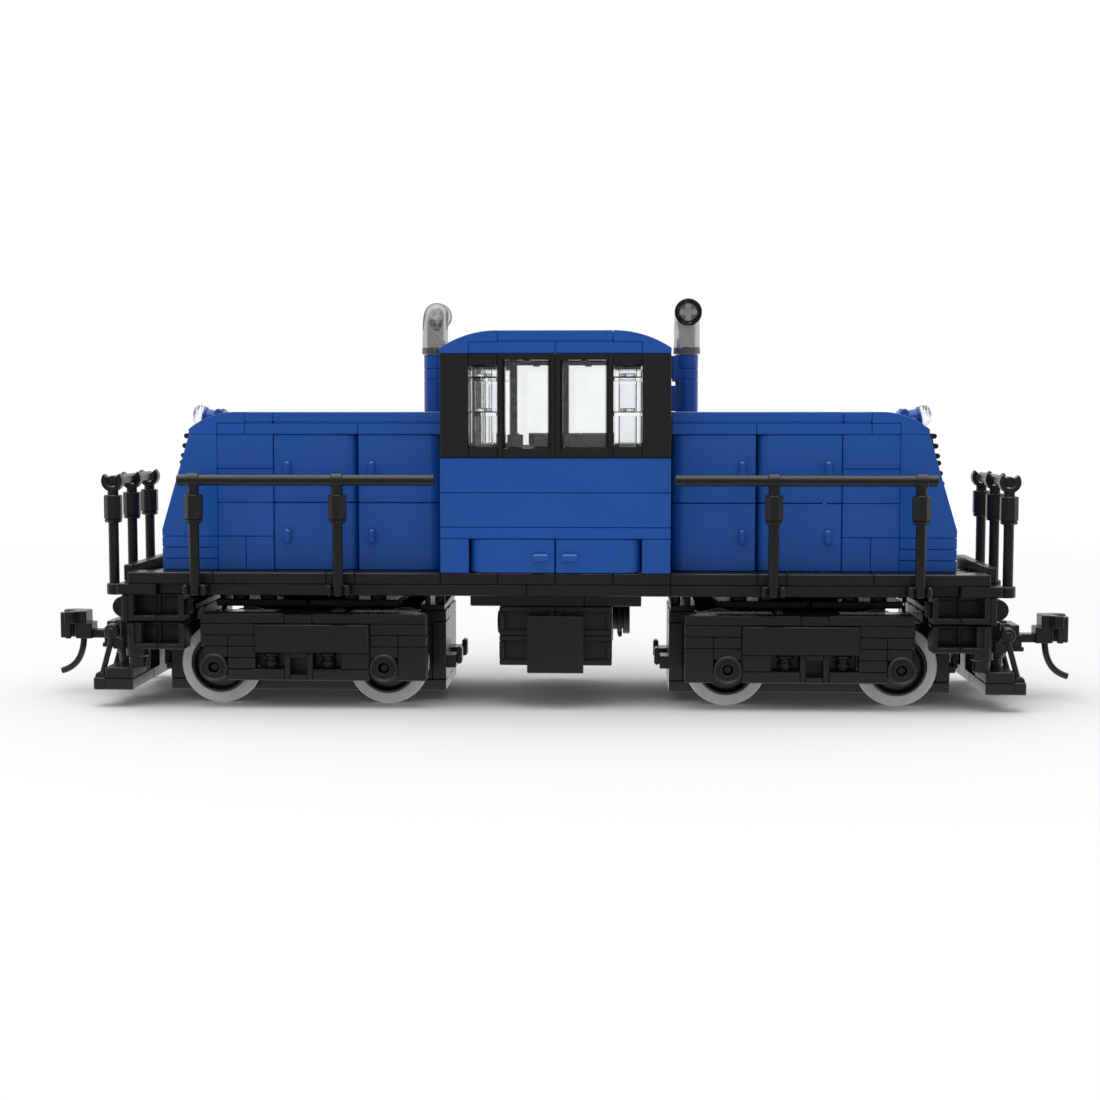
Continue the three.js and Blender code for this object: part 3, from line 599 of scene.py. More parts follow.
@dataclass
class EndBeam:
    """One end: headstock, bowed beam, coupler pocket, corner step trays and footboards."""

    shop: Shop
    side: str
    lip: float = 1.5
    tray_floors: tuple[float, ...] = (16.6, 24.6)
    tray_tops: tuple[float, ...] = (23.9, 32.0)
    floor_thickness: float = 1.6

    def build(self) -> None:
        """Draws the parts shared by both flanks, then those of each flank."""
        box = Box.of("end_beam_right")
        draft = Draft(f"end_beam_brickwork_{self.side}", (SIDES[self.side], 1))
        self.headstock(draft, box)
        self.pocket(draft)
        for flank in (-1, 1):
            self.steps(draft, flank)
            self.footboard(draft, flank, box)
        draft.release(Slot.BLACK, self.shop, BODY, f"end_beam_{self.side}")

    def headstock(self, draft: Draft, box: Box) -> None:
        """Draws the upright plates across the end, and the bow in front: a flattened half circle along Y."""
        face = 120 + PLATE
        for y in ((-32, -16), (-16, 0), (0, 16), (16, 32)):
            draft.brick((120, face), y, (DECK_UNDER + 0.2, DECK_UNDER + PLATE))
        for y in ((-24, -8), (-8, 8), (8, 24)):
            draft.brick((120.6, face), y, (DECK_UNDER + PLATE, box.z[1]))
        for y in ((-32, -24), (24, 32)):
            draft.brick((120, 121.8), y, (24.3, DECK_UNDER))
        draft.brick((119, face - 0.4), (-24, 24), (23.6, DECK_UNDER))
        bow = arc((0, 0), 1, (-90, 90), 10) * (3.7, 3.2) + (face - 0.2, 27.75)
        outline = np.concatenate([bow, [(face - 0.6, 30.95), (face - 0.6, 24.55)]])
        for y in ((-24, -8), (-8, 8), (8, 24)):
            draft.prism(Axis.Y, outline, (y[0] + GAP, y[1] - GAP))

    def pocket(self, draft: Draft) -> None:
        """Draws the coupler pocket: floor, roof and cheeks round a slot, the pin, the blocks behind."""
        draft.brick((116, 122), (-7.5, 7.5), (13.8, 23.8))
        draft.brick((122, 135), (-6, 6), (13.8, 15.2))
        draft.brick((122, 133.6), (-6, 6), (18.6, 21.6))
        draft.brick((122, 126), (-6, 6), (15.1, 18.7))
        for y in (-1, 1):
            draft.brick((125.6, 134.4), span(y, 4.8, 6), (15.0, 18.8))
            draft.bar((129.5, y * 6, 19.6), (129.5, y * 6.8, 19.6), 2.6)
        draft.bar((130, 0, 13.7), (130, 0, 22.3), 1.2)
        draft.brick((119, 122), (-9, 9), (5, 8.2))
        draft.brick((118.5, 121.5), (-3.9, 3.9), (8.0, 14))

    def steps(self, draft: Draft, flank: int) -> None:
        """Draws two trays, one above the other, each of two small open boxes side by side."""
        inner, middle, outer = 104.3, 112.0, 120.0
        front, back = 32.0, 24.0
        for floor, top in zip(self.tray_floors, self.tray_tops):
            for x in ((inner, middle), (middle, outer)):
                draft.brick(x, span(flank, back, front), (floor, floor + self.floor_thickness), 0.2)
                wall = (floor + self.floor_thickness - 0.1, top - 0.2)
                draft.brick(x, span(flank, back, back + 1.6), wall, 0.2)
                panel = (x[0] + 1.3, x[1] - 0.9)
                draft.brick(panel, span(flank, back + 1.5, back + 1.9), (floor + 2.2, top - 1.2), 0.12)
            for x in ((inner - 0.02, inner + self.lip), (outer - self.lip, outer + 0.02)):
                draft.brick(x, span(flank, back - 0.02, front + 0.02), (floor - 0.02, top), 0.2, gap=0)
        draft.brick((inner + 0.5, outer - 0.5), span(flank, back - 1, back), (16.8, DECK_UNDER))
        draft.brick((inner - 1.3, inner), span(flank, 25, 29), (26, 30.5))

    def footboard(self, draft: Draft, flank: int, box: Box) -> None:
        """Draws two stacked boards, their lip, the hangers above and the braces in front."""
        low = box.z[0]
        draft.brick((119, 127), span(flank, 8, 31.5), (low, low + PLATE))
        draft.brick((119, 127), span(flank, 16, 31.5), (low + PLATE, low + 2 * PLATE))
        draft.brick((121, 125.4), span(flank, 8, 16), (low + PLATE, low + 2 * PLATE - 0.4))
        draft.brick((126.8, 130.3), span(flank, 24, 31.5), (low, low + PLATE + 0.3))
        draft.brick((126.5, 129.5), span(flank, 14.6, 17.4), (low, low + PLATE + 0.3))
        for x, y in ((118.4, 28.4), (123.4, 20.4), (122.8, 12.4)):
            draft.bar((x, flank * y, low + 2 * PLATE - 0.4), (x, flank * y, 14.5), 2.4)
            draft.bar((x, flank * y, 14.3), (x, flank * y, 18), 3.1, edge=0.3)
            draft.brick((x - 1.8, min(x + 2.4, 124.8)), span(flank, y - 2.6, y + 2.6), (17.8, 24.2))
        draft.brick((121.8, 125), span(flank, 9, 30), (16.4, 19.4))
        for y in (16, 29):
            y *= flank
            draft.bar((128.6, y, 8.4), (125.2, y, 20.4), 0.8, 14)
            draft.bar((125.4, y - 1.5, 21.4), (125.4, y + 1.5, 21.4), 2.1, 20, edge=0.35)
            draft.bar((125.4, y - 1.9, 21.4), (125.4, y + 1.9, 21.4), 1.1, 16)
            draft.bar((128.7, y - 1.3, 8.5), (128.7, y + 1.3, 8.5), 1.5, 18)


@dataclass
class Coupler:
    """A knuckle coupler on its pin, with the curved trip pin below."""

    shop: Shop
    side: str
    shank_half: float = 2.0

    def build(self) -> None:
        """Draws the shank with its eye, the hooked head in two layers, the knuckle and the trip pin."""
        box = Box.of("coupler_right")
        name = f"coupler_{self.side}"
        draft = Draft(f"coupler_casting_{self.side}", (SIDES[self.side], 1))
        bottom, top = 15.9, box.z[1] + 0.4
        draft.tube((130, 0, bottom), (130, 0, bottom + 2.8), 2.6, 1.35)
        draft.brick((132.3, 139.6), (-self.shank_half, self.shank_half), (bottom + 0.1, bottom + 2.7))
        lower = bevelled([
            (138.9, -3), (143.6, -3), (144.4, -1.6), (144.4, 1.4), (148.4, 1.4), (148.4, 3.6),
            (146.4, 4.7), (142, 4), (138.9, 3),
        ], 0.25)
        draft.prism(Axis.Z, lower, (bottom, top - 3.4), 0.2)
        upper = bevelled([
            (140.6, -3), (142.6, -3), (144, -4.6), (146.6, -5), (146.6, -3.2), (144.8, -1.8),
            (144.8, 1.2), (148.5, 1.2), (148.5, 3.8), (146.4, 4.8), (140.6, 4),
        ], 0.25)
        draft.prism(Axis.Z, upper, (top - 3.6, top), 0.2)
        knuckle = bevelled(
            [(144.9, -4.4), (147.9, -4.2), (148.5, -2.4), (147.2, -0.4), (145.9, -1.4), (146, -2.6)], 0.2
        )
        draft.prism(Axis.Z, knuckle, (bottom + 0.4, top - 0.3), 0.2)
        draft.bar((145.9, -3.4, bottom + 0.1), (145.9, -3.4, top), 0.9, 14)
        draft.bar((142.1, 0, top - 0.3), (142.1, 0, top - 0.05), 1.0, 14)
        t = np.linspace(0, 1, 22)[:, None]
        ends = np.array([(142.2, 0, 16.5), (142.4, 0, 10.5), (144.4, 0, 7.2), (149.0, 0, 5.9)])
        near_half = ends[0] * (1 - t) ** 3 + 3 * ends[1] * t * (1 - t) ** 2
        path = near_half + 3 * ends[2] * t**2 * (1 - t) + ends[3] * t**3
        draft.sweep(path, 0.95, (0, 1, 0))
        draft.release(Slot.BLACK, self.shop, name, name)


# ---------- handrails ----------


@dataclass
class Handrails:
    """The side rails and end rails of one end of the locomotive."""

    shop: Shop
    side: str
    height: float = DECK_TOP + 26
    end_height: float = 63.5
    bar_radius: float = 1.55
    post_radius: float = 1.45
    sleeve_below: Span = (11.9, 4.0)

    def build(self) -> None:
        """Builds a rail along each flank and one across the end."""
        for flank in FLANKS:
            self.along(flank)
        self.across()

    def post(self, draft: Draft, x: float, y: float, foot: float, rail: float, neck: float) -> None:
        """Draws an upright: thin bar, eight-sided sleeve with cut ends, and the neck above it.

        Args:
            draft: The piece to add to.
            x: Its place along the locomotive.
            y: Its place across.
            foot: Where it starts.
            rail: Height of the rail it carries.
            neck: How far under the rail it ends.
        """
        low, high = (rail - drop for drop in self.sleeve_below)
        draft.bar((x, y, foot), (x, y, low + 0.5), self.post_radius)
        draft.prism(Axis.Z, circle(2.62, (x, y), 8), (low + 1.0, high), 0.25)
        draft.prism(Axis.Z, circle(2.45, (x, y), 8), (low, low + 1.1), 0.3)
        draft.bar((x, y, high - 0.3), (x, y, rail - neck), 1.55)

    def along(self, flank: str) -> None:
        """Builds the rail along one flank, with a collar at each post and clips at its feet."""
        box = Box.of("side_handrail_right_far")
        draft = Draft(f"side_rail_{self.side}_{flank}", (SIDES[self.side], FLANKS[flank]))
        y = 36.0
        draft.bar((box.x[0], y, self.height), (box.x[1], y, self.height), self.bar_radius, 24)
        for x in (60.0, 100.0):
            self.post(draft, x, y, DECK_UNDER + 0.4, self.height, 1)
            draft.bar((x - 1.65, y, self.height), (x + 1.65, y, self.height), 1.95, 24)
            for jaw in (-1, 1):
                across = span(jaw, 1.75, 3.2)
                jaw_x, jaw_z = (x + across[0], x + across[1]), (DECK_UNDER + 0.3, DECK_UNDER + 3.4)
                draft.brick(jaw_x, (32.4, 37.4), jaw_z, 0.4)
            draft.brick((x - 3.2, x + 3.2), (30.2, 33.9), (DECK_UNDER + 0.3, DECK_UNDER + 3.1))
        draft.release(Slot.BLACK, self.shop, BODY, f"side_handrail_{self.side}_{flank}")

    def across(self) -> None:
        """Builds the rail across the end: three posts, each with an open clip that holds the bar."""
        draft = Draft(f"end_rail_{self.side}", (SIDES[self.side], 1))
        x = 127.0
        draft.bar((x, -20.6, self.end_height), (x, 20.6, self.end_height), self.bar_radius, 24)
        for y in (-20.0, 0.0, 20.0):
            self.post(draft, x, y, 31.2, self.end_height, 2.4)
            draft.clip(Axis.Y, (x, self.end_height), (y - 1.5, y + 1.5), 88, 3.05, 1.72)
            draft.brick((123.2, 125.2), (y - 2.5, y + 2.5), (31, 34.2))
            draft.prism(Axis.Z, circle(2.6, (x - 0.4, y), 16), (31, 34.2), 0.25)
        draft.release(Slot.BLACK, self.shop, BODY, f"end_handrail_{self.side}")


# ---------- cab ----------


@dataclass
class Cab:
    """The cab: blue walls, black window band with clear bricks and panes, blue roof, and the desk inside."""

    shop: Shop
    half: float = 32.0
    course_heights: tuple[float, ...] = (48.0, 51.2, 60.8, 70.4)
    frame_bar: float = 1.4
    head: float = 97.1
    sill: float = 73.4

    def build(self) -> None:
        """Builds walls, band, glazing, roof, desk and the four small doors."""
        self.walls()
        self.band()
        self.glazing()
        self.roof()
        self.desk()
        for side in SIDES:
            for flank in FLANKS:
                self.door(side, flank)

    def walls(self) -> None:
        """Lays the blue courses: a long brick along each side, shorter ones across between them."""
        draft = Draft("cab_wall_courses")
        inner = self.half - STUD
        for z in zip(self.course_heights, self.course_heights[1:]):
            for flank in (-1, 1):
                draft.brick((-self.half, self.half), span(flank, inner, self.half), z)
                for y in ((-24, -8), (-8, 8), (8, 24)):
                    draft.brick(span(flank, inner, self.half), y, z)
        for x in (-1, 1):
            for y in (-1, 1):
                corner = (span(x, inner, self.half), span(y, inner, self.half))
                draft.brick(*corner, (DECK_TOP, self.course_heights[0]))
            draft.column((-24, -8, 8, 24), span(x, inner, self.half), (DECK_TOP, self.course_heights[0]))
        draft.release(Slot.BLUE, self.shop, BODY, "cab_walls")

    def band(self) -> None:
        """Draws the black band: corner columns, sill and head plates, and a framed sash on each half wall."""
        box = Box.of("cab_window_frame")
        (low, high), inner = box.z, self.half - STUD
        draft = Draft("cab_window_band")
        for x in (-1, 1):
            for y in (-1, 1):
                draft.brick(span(x, inner, self.half), span(y, inner, self.half), (low, high))
                for plate in ((low, low + PLATE), (high - PLATE, high)):
                    draft.brick(span(x, 16, 24), span(y, inner, self.half), plate)
                    draft.brick(span(y, inner, self.half), span(x, 16, 24), plate)
                self.sash(draft, x, y, (low, high), turned=False)
                self.sash(draft, x, y, (low, high), turned=True)
        draft.release(Slot.BLACK, self.shop, BODY, "cab_window_frame")

    def sash(self, draft: Draft, along: int, wall: int, z: Span, turned: bool) -> None:
        """Draws one window frame, two studs wide, from its four bars and the slimmer rebate inside them.

        Args:
            draft: The piece to add to.
            along: Which half of the wall.
            wall: Which of the two walls.
            z: Foot and head of the frame.
            turned: Whether the wall runs along Y.
        """
        depth = span(wall, 25.2, self.half)
        rebate = span(wall, 27.6, 30.2)
        opening = (self.sill - 0.4, self.head + 0.4)
        bars = (
            (span(along, 0, self.frame_bar), z, depth),
            (span(along, 16 - self.frame_bar, 16), z, depth),
            (span(along, self.frame_bar - 0.1, 16 - self.frame_bar + 0.1), (z[0], self.sill - 0.3), depth),
            (span(along, self.frame_bar - 0.1, 16 - self.frame_bar + 0.1), (self.head + 0.3, z[1]), depth),
            (span(along, self.frame_bar - 0.1, self.frame_bar + 0.6), opening, rebate),
            (span(along, 15.4 - self.frame_bar, 16.1 - self.frame_bar), opening, rebate),
            (span(along, 7, 9), (self.head - 0.1, self.head + 0.5), depth),
        )
        for u, height, v in bars:
            x, y = (v, u) if turned else (u, v)
            draft.brick(x, y, height, 0.14)

    def glazing(self) -> None:
        """Makes the panes in the sashes, and the stacks of hollow clear bricks beside them."""
        draft = Draft("cab_clear_parts")
        levels = (73.6, 83.2, 92.8, 96.0)
        for x in (-1, 1):
            for y in (-1, 1):
                pane = span(x, self.frame_bar + 0.65, 15.35 - self.frame_bar)
                sheet = span(y, 28.3, 29.3)
                draft.brick(pane, sheet, (self.sill, self.head), 0.1)
                draft.brick(sheet, pane, (self.sill, self.head), 0.1)
                for low, high in zip(levels, levels[1:]):
                    self.clear_brick(draft, (x * 20.0, y * 28.0), (low, high))
                    self.clear_brick(draft, (y * 28.0, x * 20.0), (low, high))
        draft.release(Slot.CLEAR, self.shop, BODY, "cab_glazing")

    def clear_brick(self, draft: Draft, centre: tuple[float, float], z: Span) -> None:
        """Adds a hollow one-stud brick: a skin outside, one inside under the top, and a stud on it."""
        u, v = centre
        side, wall, top = 3.92, 1.4, 1.2
        low, high = z[0] + GAP, z[1] - GAP
        outer = rectangle((u - side, u + side), (v - side, v + side))
        inner_half = side - wall
        room = rectangle((u - inner_half, u + inner_half), (v - inner_half, v + inner_half))
        rings = np.stack([room, room, inset(outer, 0.1), outer, outer, inset(outer, EDGE)])
        levels = np.array([high - top, low, low, low + 0.1, high - EDGE, high])
        flat = np.broadcast_to(levels[:, None, None], (*rings.shape[:2], 1))
        draft.skin(np.concatenate([rings, flat], 2))
        if z[1] < self.head - 1.2 and high - low > 4:
            draft.bar((u, v, high + 0.02), (u, v, high + 1.0), 2.2, 20)

    def roof(self) -> None:
        """Builds the roof: flat tiles in the middle, and curved slopes whose arc falls towards each end."""
        box = Box.of("cab_roof")
        low, high = box.z
        draft = Draft("cab_roof_bricks")
        rows = ((-32, -16), (-16, 0), (0, 16), (16, 32))
        for y in rows:
            draft.row((-24, 0, 24), y, (low, low + PLATE))
            draft.tile((-16, 16), y, (low + PLATE, high))
            for x in (-1, 1):
                outline = curved_slope(16, (24, low), low + PLATE, high)
                draft.prism(Axis.Y, outline * (x, 1), (y[0] + GAP, y[1] - GAP), 0.12)
        draft.release(Slot.BLUE, self.shop, BODY, "cab_roof")

    def desk(self) -> None:
        """Builds the driver's desk, its two ledges with a gap in the far one, and a seat base."""
        box = Box.of("cab_console")
        draft = Draft("cab_desk_and_seat")
        draft.brick((-14, 14), (-5, 5), (box.z[0], 62))
        draft.brick((-6, 6), (-4, 4), (62, 66))
        draft.row((-14, 0, 14), (-21, -5), (66, 69.4))
        draft.row((-14, 0, 14), (5, 21), (66, 69.4))
        draft.brick((-14, 14), (-5, 5), (66, 69.4))
        for y in (-1, 1):
            draft.row((-14, -6, 2, 14), span(y, 13, 21), (69.4, 73.2))
        draft.row((-14, -9.6), (-21, -17), (73.2, 76.8))
        draft.row((-6.6, 2, 14), (-21, -17), (73.2, 76.8))
        draft.row((-14, -12.8), (17, 21), (73.2, 76.8))
        draft.row((-9.9, 6, 14), (17, 21), (73.2, 76.8))
        draft.bar((9, 0, 69.3), (9, 0, 73.6), 2.6)
        draft.release(Slot.BLACK, self.shop, BODY, "cab_console")

    def door(self, side: str, flank: str) -> None:
        """Builds one small cab door, with a level handle near its free end."""
        name = f"cab_door_{side}_{flank}"
        mirror = (SIDES[side], FLANKS[flank])
        hinge, handle = (20.0, 28.0), (4.1, 42.9)
        leaf = HingedDoor(self.shop, name, mirror, hinge, 0.15, handle, upright=False)
        leaf.build(Box.of(name).z)


def curved_slope(start: float, foot: Span, step: float, top: float, flat: float = 0.0) -> Array:
    """The side of a curved slope brick, two studs long, that rests on a plate under its inner half.

    The top is an arc that is level where it starts: the fall is the radius less the root of the radius squared
    less the run squared. The radius is half of the sum of the reach squared and the drop squared, over the drop.

    Args:
        start: Where the arc begins.
        foot: Where the lower half begins, and the height it stands on.
        step: Underside of the inner half.
        top: Height at the start.
        flat: Length of level top before the arc.

    Returns:
        The outline in X and Z.
    """
    length = 2 * STUD
    reach = length - flat
    radius = (reach**2 + ARC_DROP**2) / (2 * ARC_DROP)
    run = np.linspace(0, length - GAP, 17)
    fall = top - GAP - radius + np.sqrt(radius**2 - np.maximum(run - flat, 0) ** 2)
    curve = np.stack([start + run, fall], 1)
    lip = foot[1] + GAP
    under = [(start + length - GAP, lip), (foot[0] + GAP, lip), (foot[0] + GAP, step + GAP)]
    return np.concatenate([curve + (GAP, 0), under, [(start + GAP, step + GAP)]])[::-1]


@dataclass
class HingedDoor:
    """A thin leaf that turns on a round knuckle at one end."""

    shop: Shop
    name: str
    mirror: Mirror
    hinge: tuple[float, float]
    reach: float
    handle: tuple[float, float]
    upright: bool = True
    knuckle_radius: float = 3.85
    leaf: float = 1.9

    def build(self, z: Span) -> None:
        """Draws the leaf, its knuckle with the pivot stud, the stiffening edges behind, and the handle.

        Args:
            z: Foot and head of the node, with its stud.
        """
        x, y = self.hinge
        low, high = z[0], z[1] - 1.6
        face = y + self.knuckle_radius
        inwards = 1 if self.reach > x else -1
        draft = Draft(f"{self.name}_leaf", self.mirror)
        leaf_x = (x + inwards * 0.4, self.reach)
        draft.brick(leaf_x, (face - self.leaf, face), (low - LEAF_MARGIN, high + LEAF_MARGIN), 0.18, 0.03)
        draft.bar((x, y, low + 0.02), (x, y, high - 0.02), self.knuckle_radius, 36)
        draft.bar((x, y, high - 0.5), (x, y, high + 1.5), 2.35)
        back = (face - self.leaf - 1.2, face - self.leaf + 0.1)
        for rib in ((low + 0.3, low + 1.5), (high - 1.5, high - 0.3)):
            draft.brick((x + inwards * 4.2, self.reach - inwards * 1.2), back, rib)
        free_end = tuple(sorted((self.reach - inwards * 1.5, self.reach - inwards * 0.3)))
        draft.brick(free_end, back, (low + 0.3, high - 0.3))
        u, w = self.handle
        half = (0.92, 2.15) if self.upright else (2.4, 1.0)
        draft.prism(Axis.Y, oval(*half, (u, w)), (face - 0.3, face + 1.6), 0.5)
        draft.release(Slot.BLUE, self.shop, self.name, self.name)


# ---------- hoods ----------


@dataclass
class Hood:
    """One hood: brick column and sloped nose, cover, eight doors, grille, lamp and exhaust."""

    shop: Shop
    side: str
    half: float = 24.0
    door_end: float = 80.0
    nose_foot: float = 112.0
    nose_top: float = 104.0
    slope_start: float = 50.0
    cover_flat: float = 2.6
    notch_start: float = 97.3
    grille_foot: float = 62.0
    grille_head: float = 76.4

    @property
    def x(self) -> int:
        """The sign of X where this hood stands."""
        return SIDES[self.side]

    def build(self) -> None:
        """Builds every part of the hood."""
        self.shell()
        self.cover()
        self.grille()
        self.lamp()
        self.exhaust()
        for flank in FLANKS:
            self.doors(flank)

    def shell(self) -> None:
        """Lays the fixed column of bricks beside the doors, and the nose with its slopes and low plates."""
        box = Box.of("hood_shell_right")
        low, top = box.z
        draft = Draft(f"hood_nose_{self.side}", (self.x, 1))
        column_end = self.door_end + 2 * STUD
        for flank in (-1, 1):
            wall = span(flank, self.half - STUD, self.half)
            draft.row((self.door_end, self.door_end + STUD, column_end), wall, (low, low + BRICK))
            for z in ((48.0, 57.6), (57.6, 67.2), (67.2, top)):
                draft.row((self.door_end, column_end), wall, z)
        for number in range(3):
            z = (low + number * PLATE, low + (number + 1) * PLATE)
            for y in ((-24, -8), (-8, 8), (8, 24)):
                draft.brick((column_end, self.nose_foot), y, z)
        outline = self.nose_outline(column_end, 48.0, top)
        for y in ((-24, -16), (16, 24)):
            draft.prism(Axis.Y, outline, (y[0] + GAP, y[1] - GAP), 0.14)
        lower = self.nose_outline(column_end, 48.0, 61.5)
        for y in ((-16, 0), (0, 16)):
            draft.prism(Axis.Y, lower, (y[0] + GAP, y[1] - GAP), 0.14)
        draft.brick((column_end, column_end + 2), (-16, 16), (61.5, top))
        draft.release(Slot.BLUE, self.shop, BODY, f"hood_shell_{self.side}")

    def nose_outline(self, back: float, low: float, top: float) -> Array:
        """The side of a tall slope brick: upright at the foot, then leaning back in a straight line."""
        lean = (self.nose_foot - self.nose_top) / (Box.of("hood_shell_right").z[1] - self.slope_start)
        tip = self.nose_foot - (top - self.slope_start) * lean
        corners = [
            (back + GAP, low + GAP), (self.nose_foot - GAP, low + GAP),
            (self.nose_foot - GAP, self.slope_start), (tip - GAP, top - GAP), (back + GAP, top - GAP),
        ]
        return bevelled(corners, 0.08)

    def cover(self) -> None:
        """Lays the plates over the doors, the tiles on them, and the curved slopes at the front."""
        box = Box.of("hood_cover_right")
        low, top = box.z
        middle = low + PLATE
        draft = Draft(f"hood_cover_plates_{self.side}", (self.x, 1))
        start = self.door_end + STUD
        draft.row((box.x[0], 56, start), (-24, -8), (low, middle))
        draft.row((box.x[0], 56, start), (8, 24), (low, middle))
        draft.row((box.x[0], 56, start), (-8, 8), (low, middle))
        for y in ((-24, -16), (-16, 0), (0, 16), (16, 24)):
            draft.tile((box.x[0], self.door_end), y, (middle, top))
            draft.tile((self.door_end, start), y, (middle, top))
            draft.brick((start, start + STUD), y, (low, middle))
        for flank in (-1, 1):
            draft.brick((box.x[0] + 0.5, self.door_end - 1), span(flank, 16.8, 17.8), (low - 2.2, low + 0.1))
        outline = curved_slope(start, (start + STUD, low), middle, top, self.cover_flat)
        for y in ((-24, -8), (-8, -4.3), (4.3, 8), (8, 24)):
            draft.prism(Axis.Y, outline, (y[0] + GAP, y[1] - GAP), 0.12)
        draft.prism(Axis.Y, np.minimum(outline, (self.notch_start, top)), (-4.3, 4.3), 0.05)
        draft.release(Slot.BLUE, self.shop, BODY, f"hood_cover_{self.side}")

    def grille(self) -> None:
        """Builds the radiator: a leaning plate, two cheeks, and six slats with rounded fronts."""
        box = Box.of("radiator_grille_right")
        draft = Draft(f"radiator_slats_{self.side}", (self.x, 1))
        low, high, face = self.grille_foot, self.grille_head, self.grille_face
        half = box.y[1]
        plate = np.array([(face(z) - depth, z) for z, depth in ((low, 1.2), (low, 0), (high, 0), (high, 1.2))])
        draft.prism(Axis.Y, plate, (-half, half), 0.1)
        for z in (62.9, 65.8, 68.7, 70.7, 73.5, 76.3):
            tip = face(z) + 2.4
            nose = arc((tip - 0.75, z), 0.75, (-90, 90), 8)
            outline = np.concatenate([nose, [(face(z) - 0.8, z + 0.75), (face(z) - 0.8, z - 0.75)]])
            for y in ((-half, 0), (0, half)):
                draft.prism(Axis.Y, outline, (y[0] + 0.06, y[1] - 0.06), 0.1)
        for middle in (65.8, 73.5):
            for y in (-half + 0.5, -0.5, 0.5, half - 0.5):
                outer = np.array([
                    (face(middle - 3.4) - 0.4, middle - 3.4), (face(middle - 3.4) + 1.1, middle - 3.4),
                    (face(middle + 3.2) + 1.1, middle + 3.2), (face(middle + 3.2) - 0.4, middle + 3.2),
                ])
                draft.prism(Axis.Y, outer, (y - 0.45, y + 0.45), 0.08)
        draft.release(Slot.BLACK, self.shop, BODY, f"radiator_grille_{self.side}")

    def grille_face(self, z: float) -> float:
        """How far out the leaning grille plate stands at a height."""
        return self.nose_top + 0.9 + (self.grille_head - z) * math.tan(math.radians(10))

    def lamp(self) -> None:
        """Builds the lamp: a blue holder in the cover's notch, and a clear lens tipped up a little."""
        tilt = math.radians(12)
        along = np.array((math.cos(tilt), 0, math.sin(tilt)))
        front = np.array((105.2, 0, 82.0))
        holder = Draft(f"lamp_holder_{self.side}", (self.x, 1))
        holder.brick((97.5, 103.4), (-4, 4), (78.6, 81.6), 0.3)
        holder.brick((98.6, 101.4), (-3.9, 3.9), (81.5, 83.6), 0.3)
        barrel = [(0, 2.1), (0.2, 2.35), (4.2, 2.35), (4.4, 2.8), (5.0, 2.8), (5.1, 2.6)]
        holder.lathe(front - 5.2 * along, along, barrel, 28)
        for y in (-3.1, 3.1):
            holder.bar((100, y - 0.8, 83.0), (100, y + 0.8, 83.0), 1.1, 18)
        holder.release(Slot.BLUE, self.shop, BODY)
        lens = Draft(f"lamp_lens_{self.side}", (self.x, 1))
        profile = [
            (0, 2.2), (0, 2.75), (0.2, 2.95), (1.2, 2.95), (1.4, 2.8), (2.2, 2.7), (2.6, 2.3),
            (2.9, 1.4), (3.0, 0.3),
        ]
        lens.lathe(front, along, profile, 32)
        lens.release(Slot.CLEAR, self.shop, BODY, f"headlight_{self.side}")

    def exhaust(self) -> None:
        """Builds the stack: round blue bricks, and a smoke-grey elbow that turns a quarter circle."""
        pipe_box = Box.of("exhaust_pipe_right")
        x, y = sum(pipe_box.x) / 2, sum(pipe_box.y) / 2
        low, high = pipe_box.z
        mirror, towards = (self.x, 1), -self.x
        pipe = Draft(f"stack_bricks_{self.side}", mirror)
        joints = (low, low + BRICK, low + BRICK + PLATE, high)
        for a, b in zip(joints, joints[1:]):
            pipe.tube((x, y, a), (x, y, b), 3.4, 2.0, 36)
        pipe.brick((32.1, x - 2.4), (y - 2.4, y + 2.4), (low + 0.1, 91))
        pipe.brick((33.2, x - 2.4), (y - 2.4, y + 2.4), (92.1, high - 0.3))
        pipe.brick((32.1, 33.3), (y - 2.4, y + 2.4), (92.9, high - 0.3))
        pipe.release(Slot.BLUE, self.shop, BODY, f"exhaust_pipe_{self.side}")
        foot, outer, bore, bend, reach = high + 0.1, 4.0, 2.5, 5.0, 12.0
        axis = Box.of("exhaust_elbow_right").z[1] - outer
        turn = np.radians(np.linspace(0, 90, 14))
        sideways = y + towards * bend * (1 - np.cos(turn))
        quarter = np.stack([np.full(14, x), sideways, axis - bend + bend * np.sin(turn)], 1)
        mouth = y + towards * reach
        route = np.concatenate([
            [(x, y, foot), (x, y, foot + 1.5)], quarter, [(x, mouth - towards * 1.2, axis), (x, mouth, axis)],
        ])
        elbow = Draft(f"stack_elbow_{self.side}", mirror)
        self.hollow_sweep(elbow, route, outer - 0.15, bore)
        elbow.tube((x, y, foot), (x, y, foot + 2.0), outer, outer - 0.6, 36)
        elbow.tube((x, mouth - towards * 1.9, axis), (x, mouth, axis), outer, outer - 0.6, 36)
        plug = tuple(sorted((mouth - towards * 0.5, mouth - towards * 2.5)))
        for corner in self.quarter_plugs((x, axis), bore + 0.1, 0.85):
            elbow.prism(Axis.Y, corner, plug, 0.05)
        back = tuple(sorted((mouth - towards * 2.6, mouth - towards * 3.4)))
        elbow.prism(Axis.Y, circle(bore + 0.1, (x, axis), 36), back, 0.05)
        elbow.release(Slot.SMOKE, self.shop, BODY, f"exhaust_elbow_{self.side}")

